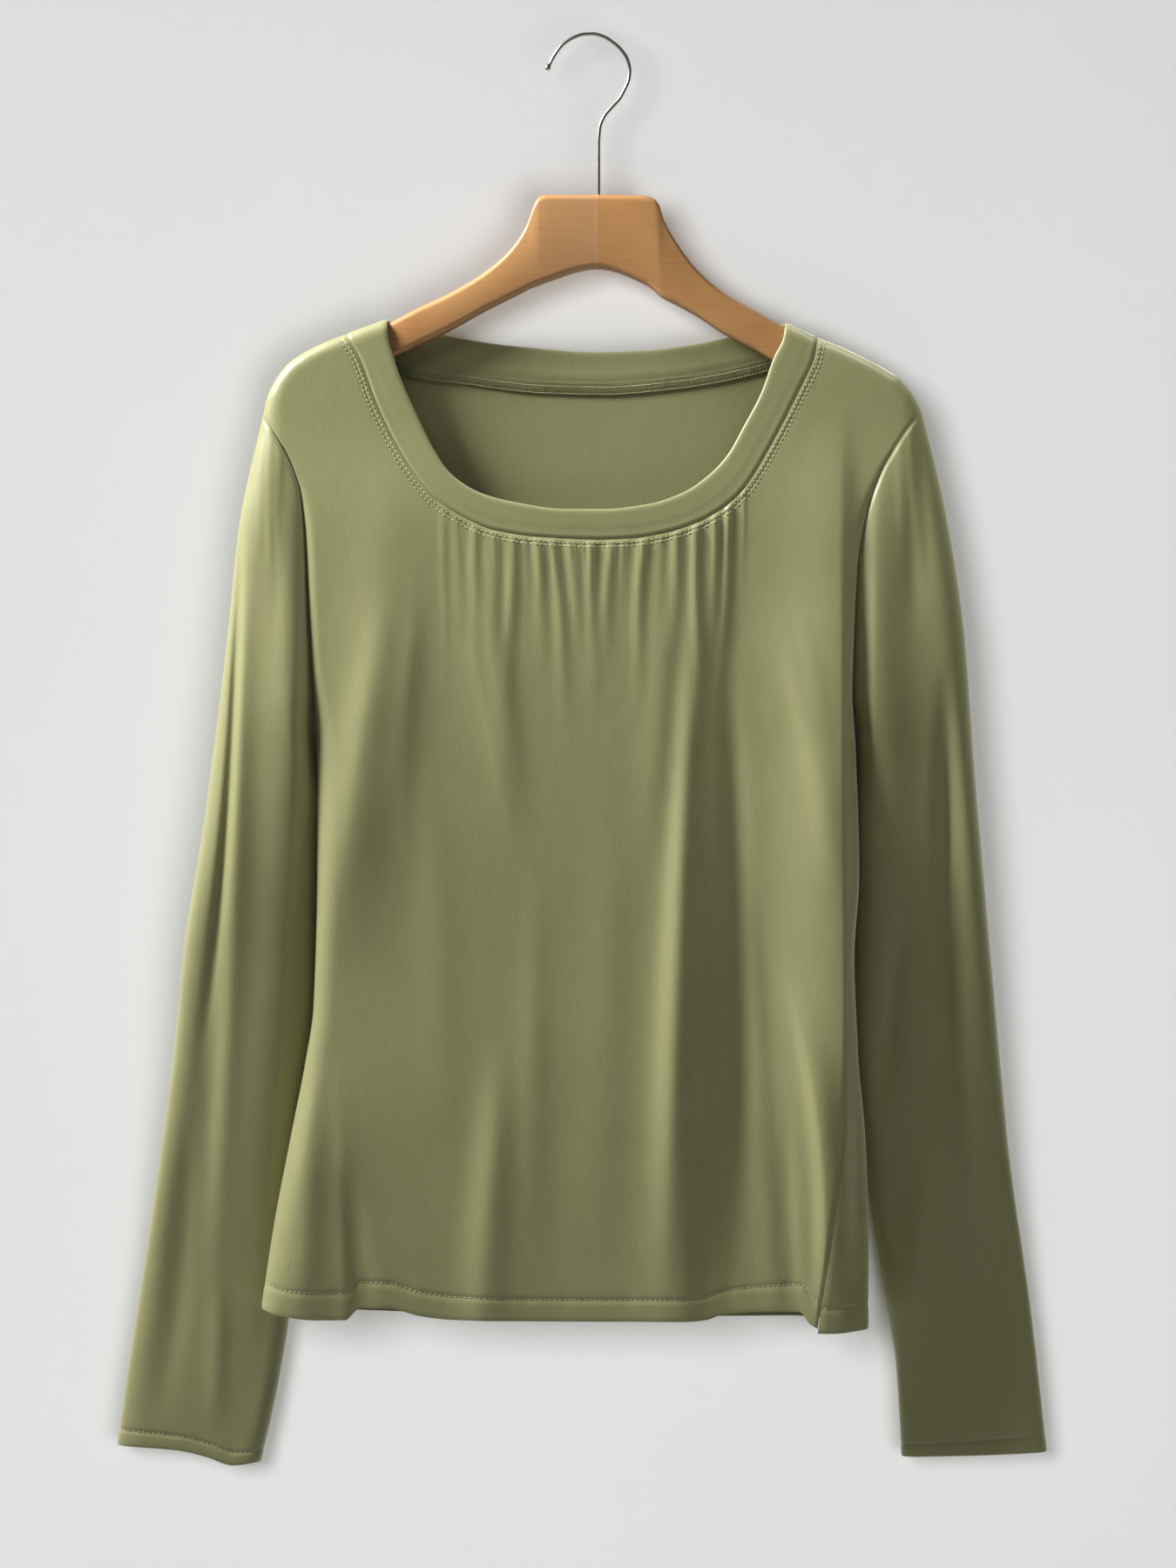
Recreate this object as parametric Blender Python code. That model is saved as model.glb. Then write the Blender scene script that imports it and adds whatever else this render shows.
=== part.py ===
"""Long sleeve jersey top hanging on a wooden hanger with a wire hook.

All tables are in millimetres and the meshes are built in metres. X runs to the
wearer's left, the front faces -Y and Z is up. The origin is the inside top of
the hook, where a rail carries it. The top is drawn as outlines in the plane of
the hanger, and each panel is then given its depth in front of or behind it.
"""
from collections import namedtuple
from functools import partial

import bmesh
import bpy
import numpy as np

MM = 0.001

# Cloth
WALL = 1.2
HEM_WALL = 2.2
HEM_DEPTH = 13.0
CUFF_DEPTH = 10.0
BAND_WALL = 2.0
BAND_EDGE_WALL = 1.1
SEAM_GAP = 0.4

# How softly the cloth turns: over the shoulders, at the edges of the sleeves
# and sides, and beside the armhole seams
SHOULDER_ROLL = 8.0
SLEEVE_ROLL = 16.0
SIDE_ROLL = 14.0
ROLL_POWER = 2.4
FRONT_SOFT_RIGHT = 7.0
FRONT_SOFT_LEFT = 20.0
BACK_SOFT = 9.0
SLEEVE_BACK_SOFT = 12.0
LOW_ROLL_Z = -380.0
BODY_LOW_ROLL = 40.0
SLEEVE_LOW_ROLL = 60.0
SHOULDER_LOW_Z = -205.0
SHOULDER_LOW_ROLL = 40.0
EDGE_PLANE_ROLL = 6.0
FIELD_STEP = 0.6

# Heights at which the armholes start and end, and where the left side seam
# starts to wrap on to the front
TIP_Z = -226
UNDERARM_Z = -396
WRAP_Z = -500
BODY_DROP = 470.0
SLEEVE_DROP = 640.0

# Hanger
BAR_THICKNESS = 11.0
BAR_ROUNDING = 4.2
WIRE_RADIUS = 1.1
BALL_RADIUS = 1.9
STEM_SINK = 14.0
BORE_GAP = 0.3
STEM_X = 4.4
BAR_TOP_Z = -96.0

# Outlines seen from the front, each row x, z
SHOULDER_RIGHT = [(-198, -230), (-195, -217), (-190, -207), (-183, -198), (-173, -191),
                  (-161, -185), (-148, -180)]
SHOULDER_LEFT = [(136, -182), (149, -187), (168, -196), (185, -206), (194, -216), (199, -226)]
BAND_TOP_RIGHT = [(-136, -175.5), (-123, -171)]
BAND_TOP_LEFT = [(117, -173), (127, -177)]
NECK_FRONT = [(-148, -180), (-139, -195), (-129, -222), (-119, -243), (-109, -260),
              (-93, -280), (-78, -290), (-60, -298), (-36, -302), (3, -304), (27, -303),
              (48, -299), (65, -293), (79, -285), (90, -275), (99, -262), (107, -248),
              (116, -231), (125, -213), (133, -196), (136, -182)]
BAND_FRONT = [(-123, -171), (-122, -183), (-119, -194), (-113, -211), (-104, -231),
              (-94, -251), (-84, -265), (-67, -276), (-50, -281), (-14, -286), (7, -286),
              (34, -283), (55, -276), (71, -265), (82, -253), (91, -237), (102, -216),
              (110, -194), (115, -184), (117, -173)]
NECK_BACK = [(-148, -180), (-127, -191), (-107, -198), (-73, -203), (-31, -208), (8, -209),
             (55, -205), (97, -197), (119, -190), (136, -182)]
BAND_BACK = [(-123, -171), (-109, -174), (-87, -180), (-65, -184), (-40, -187), (1, -190),
             (33, -189), (58, -186), (83, -181), (101, -176), (117, -173)]
ARMHOLE_RIGHT = [(-198, -230), (-190, -242), (-181, -258), (-175, -275), (-172, -300),
                 (-170, -345), (-167, -396)]
ARMHOLE_LEFT = [(199, -226), (187, -242), (175, -262), (165, -288), (160, -317),
                (158, -357), (157, -397)]
SIDE_RIGHT = [(-167, -396), (-165, -425), (-165, -505), (-167, -585), (-172, -619),
              (-180, -660), (-191, -718), (-198, -765)]
SIDE_LEFT = [(157, -397), (159, -430), (161, -504), (158, -555), (160, -607), (165, -673),
             (167, -733), (167, -776)]
SIDE_SEAM_LEFT = [(157, -397), (159, -430), (161, -504), (158, -540), (156, -555),
                  (153, -571), (150, -662), (137, -761), (135, -776)]
HEM_FRONT = [(-198, -765), (-183, -769), (-163, -771), (-147, -771), (-138, -764),
             (-122, -764), (-101, -769), (-81, -771), (11, -772), (56, -772), (69, -771),
             (78, -768), (107, -766), (124, -766), (130, -773), (135, -776)]
HEM_BACK = [(-198, -765), (-150, -768), (-90, -770), (0, -771), (70, -772), (120, -772),
            (150, -774), (167, -776)]
WRAP_DROP = 3.0
HEM_UNDER_NECK = (-152, 118)
NECK_CENTRE = (-5, -100)
SLEEVE_OUT_RIGHT = [(-198, -230), (-202, -247), (-207, -268), (-212, -294), (-219, -361),
                    (-227, -427), (-235, -485), (-245, -545), (-252, -612), (-266, -711),
                    (-281, -808), (-287, -851)]
SLEEVE_IN_RIGHT = [(-167, -396), (-168, -415), (-166, -435), (-162, -460), (-163, -556),
                   (-172, -662), (-183, -773), (-191, -821), (-200, -861)]
CUFF_RIGHT = [(-287, -851), (-250, -854), (-233, -858), (-217, -863), (-200, -861)]
SLEEVE_OUT_LEFT = [(199, -226), (207, -257), (215, -294), (225, -361), (230, -430),
                   (239, -533), (248, -629), (253, -677), (266, -766), (276, -855)]
SLEEVE_IN_LEFT = [(157, -397), (160, -415), (160, -440), (158, -470), (157, -578),
                  (163, -666), (175, -747), (185, -806), (188, -858)]
CUFF_LEFT = [(276, -855), (232, -857), (188, -858)]

# Body depth: edge is the plane of the side edges, front and back the depth of
# the panels from it, crease how far the cloth sinks to the edge beside it
BodyRow = namedtuple("BodyRow", "z edge front back")
BODY_DEPTH = [
    BodyRow(-165, 0, 8.8, 8.8),
    BodyRow(-230, 0, 9.5, 9.5),
    BodyRow(-300, -1, 12, 11),
    BodyRow(UNDERARM_Z, -3, 13, 12),
    BodyRow(-550, -6, 14, 13),
    BodyRow(-662, -9, 14, 15),
    BodyRow(-780, -10, 15, 16),
]
ArmRow = namedtuple("ArmRow", "z outer_edge inner_edge front back")
SLEEVE_DEPTH = [
    ArmRow(TIP_Z, 0, 0, 9.5, 9.5),
    ArmRow(-300, -1, -1, 12, 11),
    ArmRow(UNDERARM_Z, -3, -3, 13, 12),
    ArmRow(-425, -2, 4, 11, 11),
    ArmRow(-455, 0, 10, 11, 9),
    ArmRow(-550, 3, 12, 11, 9),
    ArmRow(-662, 9, 15, 10, 8),
    ArmRow(-772, 14, 17, 8, 8),
    ArmRow(-864, 14, 15, 7, 7),
]
CreaseRow = namedtuple("CreaseRow", "z share")
CREASE = [CreaseRow(TIP_Z, 0.0), CreaseRow(-250, 0.03), CreaseRow(-275, 0.2),
          CreaseRow(-300, 0.42), CreaseRow(-350, 0.62), CreaseRow(-384, 0.85),
          CreaseRow(UNDERARM_Z, 1.0)]

# Folds: a ridge (or trough, height below zero) between two heights, its x at
# the top, middle and low end, its reach to each side and its height
Fold = namedtuple("Fold", "z_top z_low x_top x_mid x_low left right height")
FRONT_FOLDS = [
    Fold(-300, -800, 64, 52, 46, 8, 9, 4.5),
    Fold(-340, -800, 80, 87, 81, 9, 8, -4.5),
    Fold(-305, -600, 83, 95, 122, 6, 12, 4.2),
    Fold(-560, -800, 118, 137, 135, 5, 14, 6),
    Fold(-640, -800, 116, 119, 121, 8, 5, -5),
    Fold(-330, -520, 120, 138, 151, 8, 8, 3),
    Fold(-340, -530, -128, -146, -155, 9, 9, 3),
    Fold(-330, -490, -105, -112, -122, 8, 8, 1.6),
    Fold(-305, -480, -69, -55, -41, 8, 8, 1.6),
    Fold(-610, -810, -164, -172, -172, 12, 13, 5),
    Fold(-665, -810, -146, -142, -138, 5, 9, -5),
    Fold(-600, -800, -56, -61, -66, 10, 10, 1.4),
]
BACK_FOLDS = [
    Fold(-240, -620, -60, -68, -78, 12, 12, 2),
    Fold(-260, -800, 30, 38, 46, 12, 12, 2.6),
    Fold(-420, -800, -112, -118, -126, 11, 13, 3),
    Fold(-470, -800, 92, 98, 108, 10, 14, 3),
    Fold(-560, -800, -20, -24, -30, 9, 12, 2.2),
]
RIGHT_SLEEVE_FOLDS = [
    Fold(-262, -640, -209, -218, -238, 3, 3, -4),
    Fold(-290, -820, -207, -217, -232, 5, 9, 3.5),
    Fold(-255, -380, -186, -188, -190, 4, 4, -1.5),
]
LEFT_SLEEVE_FOLDS = [
    Fold(-250, -370, 191, 193, 195, 5, 5, -3),
    Fold(-365, -660, 213, 213, 218, 7, 7, -4),
    Fold(-500, -660, 188, 181, 177, 6, 6, -2.5),
    Fold(-660, -800, 202, 197, 190, 9, 9, 2.2),
]
SLEEVE_BACK_FOLDS = [
    Fold(-300, -640, 196, 205, 216, 9, 9, 2.5),
    Fold(-560, -820, 190, 205, 224, 10, 10, 2),
]

# Gathers under the neckband: x at the seam, how far each runs down, its height
Gather = namedtuple("Gather", "x run height")
GATHERS = [
    Gather(-69, 70, 1.3), Gather(-59, 50, 1.6), Gather(-47, 82, 1.9), Gather(-34, 60, 1.8),
    Gather(-23, 88, 2.0), Gather(-12, 55, 1.7), Gather(0, 76, 2.1), Gather(12, 62, 1.8),
    Gather(31, 84, 2.0), Gather(52, 58, 1.9), Gather(62, 95, 2.3), Gather(73, 66, 2.0),
    Gather(83, 90, 1.9),
]
GATHER_RISE = 7.0
GATHER_HALF_WIDTH = 5.5

# Wooden bar: its top and bottom along x
BarRow = namedtuple("BarRow", "x top bottom")
BAR = [
    BarRow(-189, -210, -219), BarRow(-187, -206.5, -222), BarRow(-178, -197.5, -221),
    BarRow(-168, -191.2, -217), BarRow(-155, -185.6, -211), BarRow(-140, -180.4, -204),
    BarRow(-123, -173.8, -196), BarRow(-106, -165, -188), BarRow(-85, -155, -178),
    BarRow(-65, -143, -167), BarRow(-49, -129, -159), BarRow(-39, -114, -154),
    BarRow(-35, -103, -152), BarRow(-32, -97.5, -151), BarRow(-27, -96, -149),
    BarRow(4, -96, -141), BarRow(32, -96.6, -150), BarRow(38, -98.5, -154),
    BarRow(41, -102, -157), BarRow(44, -111, -159), BarRow(52, -125, -163),
    BarRow(63, -140, -169), BarRow(80, -155, -180), BarRow(99, -166, -190),
    BarRow(117, -176, -201), BarRow(134, -183.6, -208), BarRow(150, -190, -214),
    BarRow(168, -198.4, -221), BarRow(180, -206, -225), BarRow(187, -211.8, -225),
    BarRow(190, -215.5, -222),
]
BAR_END_SHARE = 0.55

# Hook wire: its centreline from the ball to the stem, x and z
HOOK = [(-27, -21), (-24, -15), (-21, -10), (-17, -5.2), (-10, -0.8), (-5, 0.8), (1, 1.1),
        (7, -0.4), (13, -4), (18, -8.5), (22, -15), (23.2, -21), (22.4, -27), (20, -32.5),
        (17, -38), (12, -43.5), (7.6, -49), (5.2, -55), (4.4, -63)]

# How finely the walls are divided; the gathers end above the plain row
UNDERARM_SHARE = 0.3103
HEM_STEP_SHARE = 0.004
DRAW_IN_REACH = 68
ARM_STEPS = [0, 0.006, 0.021, 0.05, 0.12, 0.20, 0.29, 0.42, 0.58, 0.75, 0.88, 0.96, 1]
BODY_STEPS = 9
PLAIN_ROW = 10
EDGE_COLUMNS = [0, 4.5, 9, 15, 23, 35, 50]
NECK_SIDE_COLUMNS = [0, 1.2, 4, 9, 17, 30, 46, 64, 84, 103]
BACK_NECK_COLUMNS = 15
WRAP_SHARES = [1.0, 0.7, 0.35, 0.0]
WRAP_STEPS = [0.9, 0.6, 0.3, 0.0]
SLEEVE_ROWS = [0, 0.003, 0.01, 0.025, 0.05, 0.09, 0.14, 0.20, 0.27, 0.35, 0.43, 0.51, 0.59, 0.67, 0.75,
               0.83, 0.91]
BAND_ROWS = [(0.0, 1.4), (0.45, BAND_WALL), (0.92, BAND_WALL), (1.0, BAND_EDGE_WALL)]
BAND_ROLL = 0.45


def monotone(knots, values, at):
    """Cubic through the rows that adds no bumps between them."""
    knots = np.asarray(knots, float)
    values = np.asarray(values, float)
    steps = np.diff(knots)
    slopes = np.diff(values) / steps
    tangents = np.zeros_like(values)
    tangents[0], tangents[-1] = slopes[0], slopes[-1]
    product = slopes[:-1] * slopes[1:]
    weight_a = 2 * steps[1:] + steps[:-1]
    weight_b = steps[1:] + 2 * steps[:-1]
    safe_a = np.where(product > 0, slopes[:-1], 1)
    safe_b = np.where(product > 0, slopes[1:], 1)
    mean = (weight_a + weight_b) / (weight_a / safe_a + weight_b / safe_b)
    tangents[1:-1] = np.where(product > 0, mean, 0)
    at = np.clip(np.asarray(at, float), knots[0], knots[-1])
    index = np.clip(np.searchsorted(knots, at, side="right") - 1, 0, len(steps) - 1)
    h = steps[index]
    t = (at - knots[index]) / h
    return ((2 * t ** 3 - 3 * t ** 2 + 1) * values[index]
            + (t ** 3 - 2 * t ** 2 + t) * h * tangents[index]
            + (3 * t ** 2 - 2 * t ** 3) * values[index + 1]
            + (t ** 3 - t ** 2) * h * tangents[index + 1])


def chords(rows):
    """Distance of each row along the outline."""
    steps = np.hypot(*np.diff(np.asarray(rows, float), axis=0).T)
    return np.concatenate([[0], np.cumsum(steps)])


def along(rows, distance):
    """Points x, z at these distances along an outline."""
    knots = chords(rows)
    rows = np.asarray(rows, float)
    return np.stack([monotone(knots, rows[:, 0], distance),
                     monotone(knots, rows[:, 1], distance)], -1)


def at_height(rows, z):
    """The x of an outline that runs down, at these heights."""
    rows = np.asarray(rows, float)[::-1]
    return monotone(rows[:, 1], rows[:, 0], z)


def by_height(table, column, z):
    """One named column of a table whose rows run down."""
    rows = table[::-1]
    return monotone([row.z for row in rows], [getattr(row, column) for row in rows], z)


def smoothstep(t):
    t = np.clip(t, 0, 1)
    return t * t * (3 - 2 * t)


def rolled(distance, reach):
    """Share of the full depth at a distance from a rolled edge."""
    t = np.clip(distance / reach, 0, 1)
    return (1 - (1 - t) ** ROLL_POWER) ** (1 / ROLL_POWER)


def distance_to(rows, x, z):
    """Shortest distance from points to an outline."""
    rows = np.asarray(rows, float)
    best = np.full(np.shape(x), np.inf)
    for start, end in zip(rows[:-1], rows[1:]):
        span = end - start
        t = ((x - start[0]) * span[0] + (z - start[1]) * span[1]) / (span @ span)
        t = np.clip(t, 0, 1)
        best = np.minimum(best, np.hypot(x - start[0] - t * span[0],
                                         z - start[1] - t * span[1]))
    return best


def relief(folds, x, z):
    """Height of the folds at points of a panel."""
    total = np.zeros(np.shape(x))
    for fold in folds:
        t = (fold.z_top - z) / (fold.z_top - fold.z_low)
        centre = (fold.x_top * (1 - t) * (1 - 2 * t) + fold.x_mid * 4 * t * (1 - t)
                  + fold.x_low * t * (2 * t - 1))
        off = x - centre
        reach = np.where(off < 0, fold.left, fold.right) * (0.75 + 0.5 * np.clip(t, 0, 1))
        fade = smoothstep(t / 0.3) * smoothstep((1 - t) / 0.25)
        total += fold.height * fade * np.exp(-(off / reach) ** 2)
    return total


def line_x(start, end, z):
    """The x of a straight line between two points at these heights."""
    return start[0] + (end[0] - start[0]) * (z - start[1]) / (end[1] - start[1])


def sleeve_patch(ring_z, armhole, inner, outer, cuff, u, v):
    """Points of a flat sleeve: straight columns, spread at each height."""
    tip, arm = outer[0], (line_x(armhole[0], armhole[-1], ring_z[-1]), ring_z[-1])
    top = np.stack([line_x(tip, arm, ring_z), ring_z], -1)
    bottom = along(cuff, u * chords(cuff)[-1])
    v = np.asarray(v)[:, None, None]
    grid = (1 - v) * top[None] + v * bottom[None]
    x, z = grid[..., 0], grid[..., 1]
    above = z > arm[1]
    low = np.where(above, line_x(tip, arm, z), line_x(arm, bottom[-1], z))
    high = line_x(tip, bottom[0], z)
    wide = at_height(outer, z)
    narrow = at_height(border(armhole, inner), z)
    width = np.where(np.abs(high - low) < 0.01, 1, high - low)
    grid[..., 0] = narrow + (x - low) / width * (wide - narrow)
    return grid


def roll_share(x, z):
    """Depth share from the shoulder line and the sleeves' outer edges."""
    right = SLEEVE_OUT_RIGHT[::-1] + SHOULDER_RIGHT[1:] + BAND_TOP_RIGHT
    left = BAND_TOP_LEFT + SHOULDER_LEFT + SLEEVE_OUT_LEFT[1:]
    distance = np.minimum(distance_to(right, x, z), distance_to(left, x, z))
    low = smoothstep((SHOULDER_LOW_Z - z) / SHOULDER_LOW_ROLL)
    return rolled(distance, SHOULDER_ROLL + (SLEEVE_ROLL - SHOULDER_ROLL) * low)


def border(armhole, side):
    return armhole + side[1:]


def edge_share(inset, z, soft):
    """Depth share that sinks to the crease at an armhole and shuts at a side."""
    crease = np.where(z < UNDERARM_Z, 1.0, by_height(CREASE, "share", z))
    return 1 - crease * (1 - rolled(inset, soft))


def body_edges(z):
    right = at_height(border(ARMHOLE_RIGHT, SIDE_RIGHT), z)
    left = at_height(border(ARMHOLE_LEFT, SIDE_LEFT), z)
    return right, left


def body_share(x, z, soft_right, soft_left):
    """Depth share of a body panel at points x, z."""
    right, left = body_edges(z)
    above_tips = z > TIP_Z
    inset_right = np.where(above_tips, np.inf, np.maximum(x - right, 0))
    inset_left = np.where(above_tips, np.inf, np.maximum(left - x, 0))
    low = smoothstep((LOW_ROLL_Z - z) / BODY_LOW_ROLL)
    share_right = edge_share(inset_right, z, soft_right + (SIDE_ROLL - soft_right) * low)
    share_left = edge_share(inset_left, z, soft_left + (SIDE_ROLL - soft_left) * low)
    return roll_share(x, z) * share_right * share_left


def front_y(x, z):
    share = body_share(x, z, FRONT_SOFT_RIGHT, FRONT_SOFT_LEFT)
    depth = by_height(BODY_DEPTH, "front", z)
    return by_height(BODY_DEPTH, "edge", z) - share * (depth + relief(FRONT_FOLDS, x, z))


def back_y(x, z):
    share = body_share(x, z, BACK_SOFT, BACK_SOFT)
    depth = by_height(BODY_DEPTH, "back", z)
    return by_height(BODY_DEPTH, "edge", z) + share * (depth + relief(BACK_FOLDS, x, z))


def inward(points, towards):
    """Unit vectors square to an outline, on the side of a point."""
    tangent = np.gradient(points, axis=0)
    normal = np.stack([-tangent[:, 1], tangent[:, 0]], -1)
    normal /= np.linalg.norm(normal, axis=1, keepdims=True)
    side = np.sum(normal * (np.asarray(towards, float) - points), axis=1)
    return normal * np.where(side < 0, -1, 1)[:, None]


def body_rows():
    """Shares of the way from shoulder to hem, armhole first, then side and hem."""
    hem = 1 - HEM_DEPTH / BODY_DROP
    upper = UNDERARM_SHARE * np.array(ARM_STEPS)
    lower = np.linspace(UNDERARM_SHARE, hem - HEM_STEP_SHARE, BODY_STEPS + 1)[1:]
    return np.concatenate([upper, lower, [hem, 1.0]])


def draw_in(x, z, outline, side):
    """Lean the columns near one border so that the outermost follows it."""
    tip, corner = outline[0], outline[-1]
    straight = tip[0] + (corner[0] - tip[0]) * (z - tip[1]) / (corner[1] - tip[1])
    shift = np.where(z < tip[1], at_height(outline, z) - straight, 0)
    inset = np.clip(side * (x - straight) / DRAW_IN_REACH, 0, 1)
    return x + shift * (1 - inset)


def vertex_normals(grid, closed):
    """Outward directions from the rows and columns of a grid."""
    down = np.gradient(grid, axis=0)
    if closed:
        across = np.roll(grid, -1, axis=1) - np.roll(grid, 1, axis=1)
    else:
        across = np.gradient(grid, axis=1)
    normal = np.cross(down, across)
    return normal / np.maximum(np.linalg.norm(normal, axis=2, keepdims=True), 1e-9)


def field_normals(x, z, depth, side):
    """Outward directions of a depth function; side is -1 in front and 1 behind."""
    slope_x = (depth(x + FIELD_STEP, z) - depth(x - FIELD_STEP, z)) / (2 * FIELD_STEP)
    slope_z = (depth(x, z + FIELD_STEP) - depth(x, z - FIELD_STEP)) / (2 * FIELD_STEP)
    normal = np.stack([-side * slope_x, np.full(np.shape(x), side), -side * slope_z], -1)
    return normal / np.linalg.norm(normal, axis=-1, keepdims=True)


def tip_normal(shoulder_point, sleeve_point):
    """Outward direction in the plane of the hanger at a shoulder tip."""
    x, z = np.subtract(sleeve_point, shoulder_point)
    normal = np.array([z, 0, -x])
    normal = normal * np.sign(normal[0]) * np.sign(sleeve_point[0])
    return normal / np.linalg.norm(normal)


def flatten(normals, mask):
    """Turn the directions at a seam into the plane of the hanger."""
    normals[mask, 1] = 0
    length = np.linalg.norm(normals[mask], axis=1, keepdims=True)
    normals[mask] = normals[mask] / length


def add_material(obj, colour, roughness, metallic=0.0):
    material = bpy.data.materials.new(obj.name)
    material.use_nodes = True
    shader = material.node_tree.nodes["Principled BSDF"]
    shader.inputs["Base Color"].default_value = (*colour, 1)
    shader.inputs["Roughness"].default_value = roughness
    shader.inputs["Metallic"].default_value = metallic
    material.diffuse_color = (*colour, 1)
    obj.data.materials.append(material)


def add_object(name, points, faces):
    """A named object from points in millimetres, faces turned outward."""
    mesh = bpy.data.meshes.new(name)
    mesh.from_pydata([tuple(point * MM) for point in points], [], faces)
    work = bmesh.new()
    work.from_mesh(mesh)
    bmesh.ops.recalc_face_normals(work, faces=work.faces)
    work.to_mesh(mesh)
    work.free()
    mesh.shade_smooth()
    mesh.set_sharp_from_angle(angle=0.9)
    obj = bpy.data.objects.new(name, mesh)
    bpy.context.scene.collection.objects.link(obj)
    return obj


def cell_faces(points, a, b, c, d):
    """Two triangles of a cell, cut along its shorter diagonal."""
    if np.linalg.norm(points[a] - points[c]) <= np.linalg.norm(points[b] - points[d]):
        return (a, b, c), (a, c, d)
    return (a, b, d), (b, c, d)


def add_wall(name, outer, normals, wall, closed):
    """A cloth wall: the outer grid, the same grid moved in, and its open rims."""
    rows, columns = outer.shape[:2]
    inner = outer - normals * wall[..., None]
    points = np.concatenate([outer.reshape(-1, 3), inner.reshape(-1, 3)])
    offset = rows * columns
    spans = columns if closed else columns - 1
    faces = []
    for i in range(rows - 1):
        for j in range(spans):
            k = (j + 1) % columns
            a, b, c, d = (i * columns + j, i * columns + k,
                          (i + 1) * columns + k, (i + 1) * columns + j)
            for face in cell_faces(points, a, b, c, d):
                faces.append(face)
                faces.append(tuple(index + offset for index in reversed(face)))
    for i, flip in ((0, False), (rows - 1, True)):
        for j in range(spans):
            a, b = i * columns + j, i * columns + (j + 1) % columns
            rim = (a, a + offset, b + offset, b)
            faces.append(rim[::-1] if flip else rim)
    if not closed:
        for j, flip in ((0, True), (columns - 1, False)):
            for i in range(rows - 1):
                a, b = i * columns + j, (i + 1) * columns + j
                rim = (a, a + offset, b + offset, b)
                faces.append(rim[::-1] if flip else rim)
    return add_object(name, points, faces)


def neck_columns():
    """Distances along the front neck seam, a column on each gather and between."""
    x = [gather.x for gather in GATHERS]
    valleys = [(a + b) / 2 for a, b in zip(x[:-1], x[1:])]
    marks = sorted(x + valleys + [x[0] - 5, x[-1] + 5])
    knots = chords(NECK_FRONT)
    middle = np.interp(marks, [row[0] for row in NECK_FRONT], knots)
    sides = np.array(NECK_SIDE_COLUMNS, float)
    first = sides[sides < middle[0] - 4]
    last = knots[-1] - sides[sides < knots[-1] - middle[-1] - 4]
    return np.concatenate([first, middle, last[::-1]])


def back_neck_columns():
    sides = np.array(NECK_SIDE_COLUMNS[:6], float)
    total = chords(NECK_BACK)[-1]
    middle = np.linspace(sides[-1], total - sides[-1], BACK_NECK_COLUMNS)
    return np.concatenate([sides[:-1], middle, (total - sides[:-1])[::-1]])


def panel_top(neck, neck_distances):
    """Top outline of a panel: shoulder, neck seam, shoulder."""
    edge = np.array(EDGE_COLUMNS, float)
    first = along(SHOULDER_RIGHT, edge)
    last = along(SHOULDER_LEFT, chords(SHOULDER_LEFT)[-1] - edge)[::-1]
    middle = along(neck, neck_distances)
    middle = middle - inward(middle, NECK_CENTRE) * SEAM_GAP / 2
    lengths = (chords(SHOULDER_RIGHT)[-1], chords(neck)[-1], chords(SHOULDER_LEFT)[-1])
    total = sum(lengths)
    u = np.concatenate([edge, lengths[0] + neck_distances, (total - edge)[::-1]]) / total
    points = np.concatenate([first, middle, last])
    is_shoulder = np.ones(len(points), bool)
    is_shoulder[len(edge) + 1:len(edge) + len(middle) - 1] = False
    return points, u, is_shoulder


def lengths_share(neck):
    """Shares of a panel's top outline at which its neck seam starts and ends."""
    first = chords(SHOULDER_RIGHT)[-1]
    total = first + chords(neck)[-1] + chords(SHOULDER_LEFT)[-1]
    return first / total, (first + chords(neck)[-1]) / total


def panel_grid(neck, neck_distances, side_left, hem):
    """The x, z grid of a body panel."""
    top, u, is_shoulder = panel_top(neck, neck_distances)
    ends = (0, *lengths_share(neck), 1)
    hem_x = monotone(ends, (hem[0][0], *HEM_UNDER_NECK, hem[-1][0]), u)
    hem_z = monotone([row[0] for row in hem], [row[1] for row in hem], hem_x)
    bottom = np.stack([hem_x, hem_z], -1)
    rows = body_rows()
    v = rows[:, None, None]
    grid = (1 - v) * top[None] + v * bottom[None]
    x, z = grid[..., 0], grid[..., 1]
    x = draw_in(x, z, border(ARMHOLE_RIGHT, SIDE_RIGHT), 1)
    x = draw_in(x, z, border(ARMHOLE_LEFT, side_left), -1)
    arm = slice(0, len(ARM_STEPS))
    x[arm, 0] += SEAM_GAP / 2
    x[arm, -1] -= SEAM_GAP / 2
    return np.stack([x, z], -1), u, rows, is_shoulder


def wrap_width(z):
    """How far the left side seam lies in from the left edge, on the front."""
    width = at_height(SIDE_LEFT, z) - at_height(SIDE_SEAM_LEFT, z)
    return np.where(z > WRAP_Z, 0.0, width)


def seam_normals(z, side):
    """Shared outward directions at the left side seam."""
    turn = rolled(wrap_width(z), SIDE_ROLL) ** 1.5
    x = side * np.sqrt(np.maximum(1 - turn ** 2, 0))
    return np.stack([x, -turn, np.zeros_like(x)], -1)


def gather_lift(u, drop):
    """Height of the gathers at each column, rising just under the seam."""
    lift = np.zeros(drop.shape)
    knots = chords(NECK_FRONT)
    total = knots[-1] + chords(SHOULDER_RIGHT)[-1] + chords(SHOULDER_LEFT)[-1]
    for gather in GATHERS:
        place = np.interp(gather.x, [row[0] for row in NECK_FRONT], knots)
        centre = (place + chords(SHOULDER_RIGHT)[-1]) / total
        across = np.abs(u - centre) * total
        bump = 0.5 + 0.5 * np.cos(np.pi * np.clip(across / GATHER_HALF_WIDTH, 0, 1))
        run = smoothstep(drop / GATHER_RISE) * (1 - smoothstep(drop / gather.run))
        lift += gather.height * bump[None, :] * run
    return lift


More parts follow.
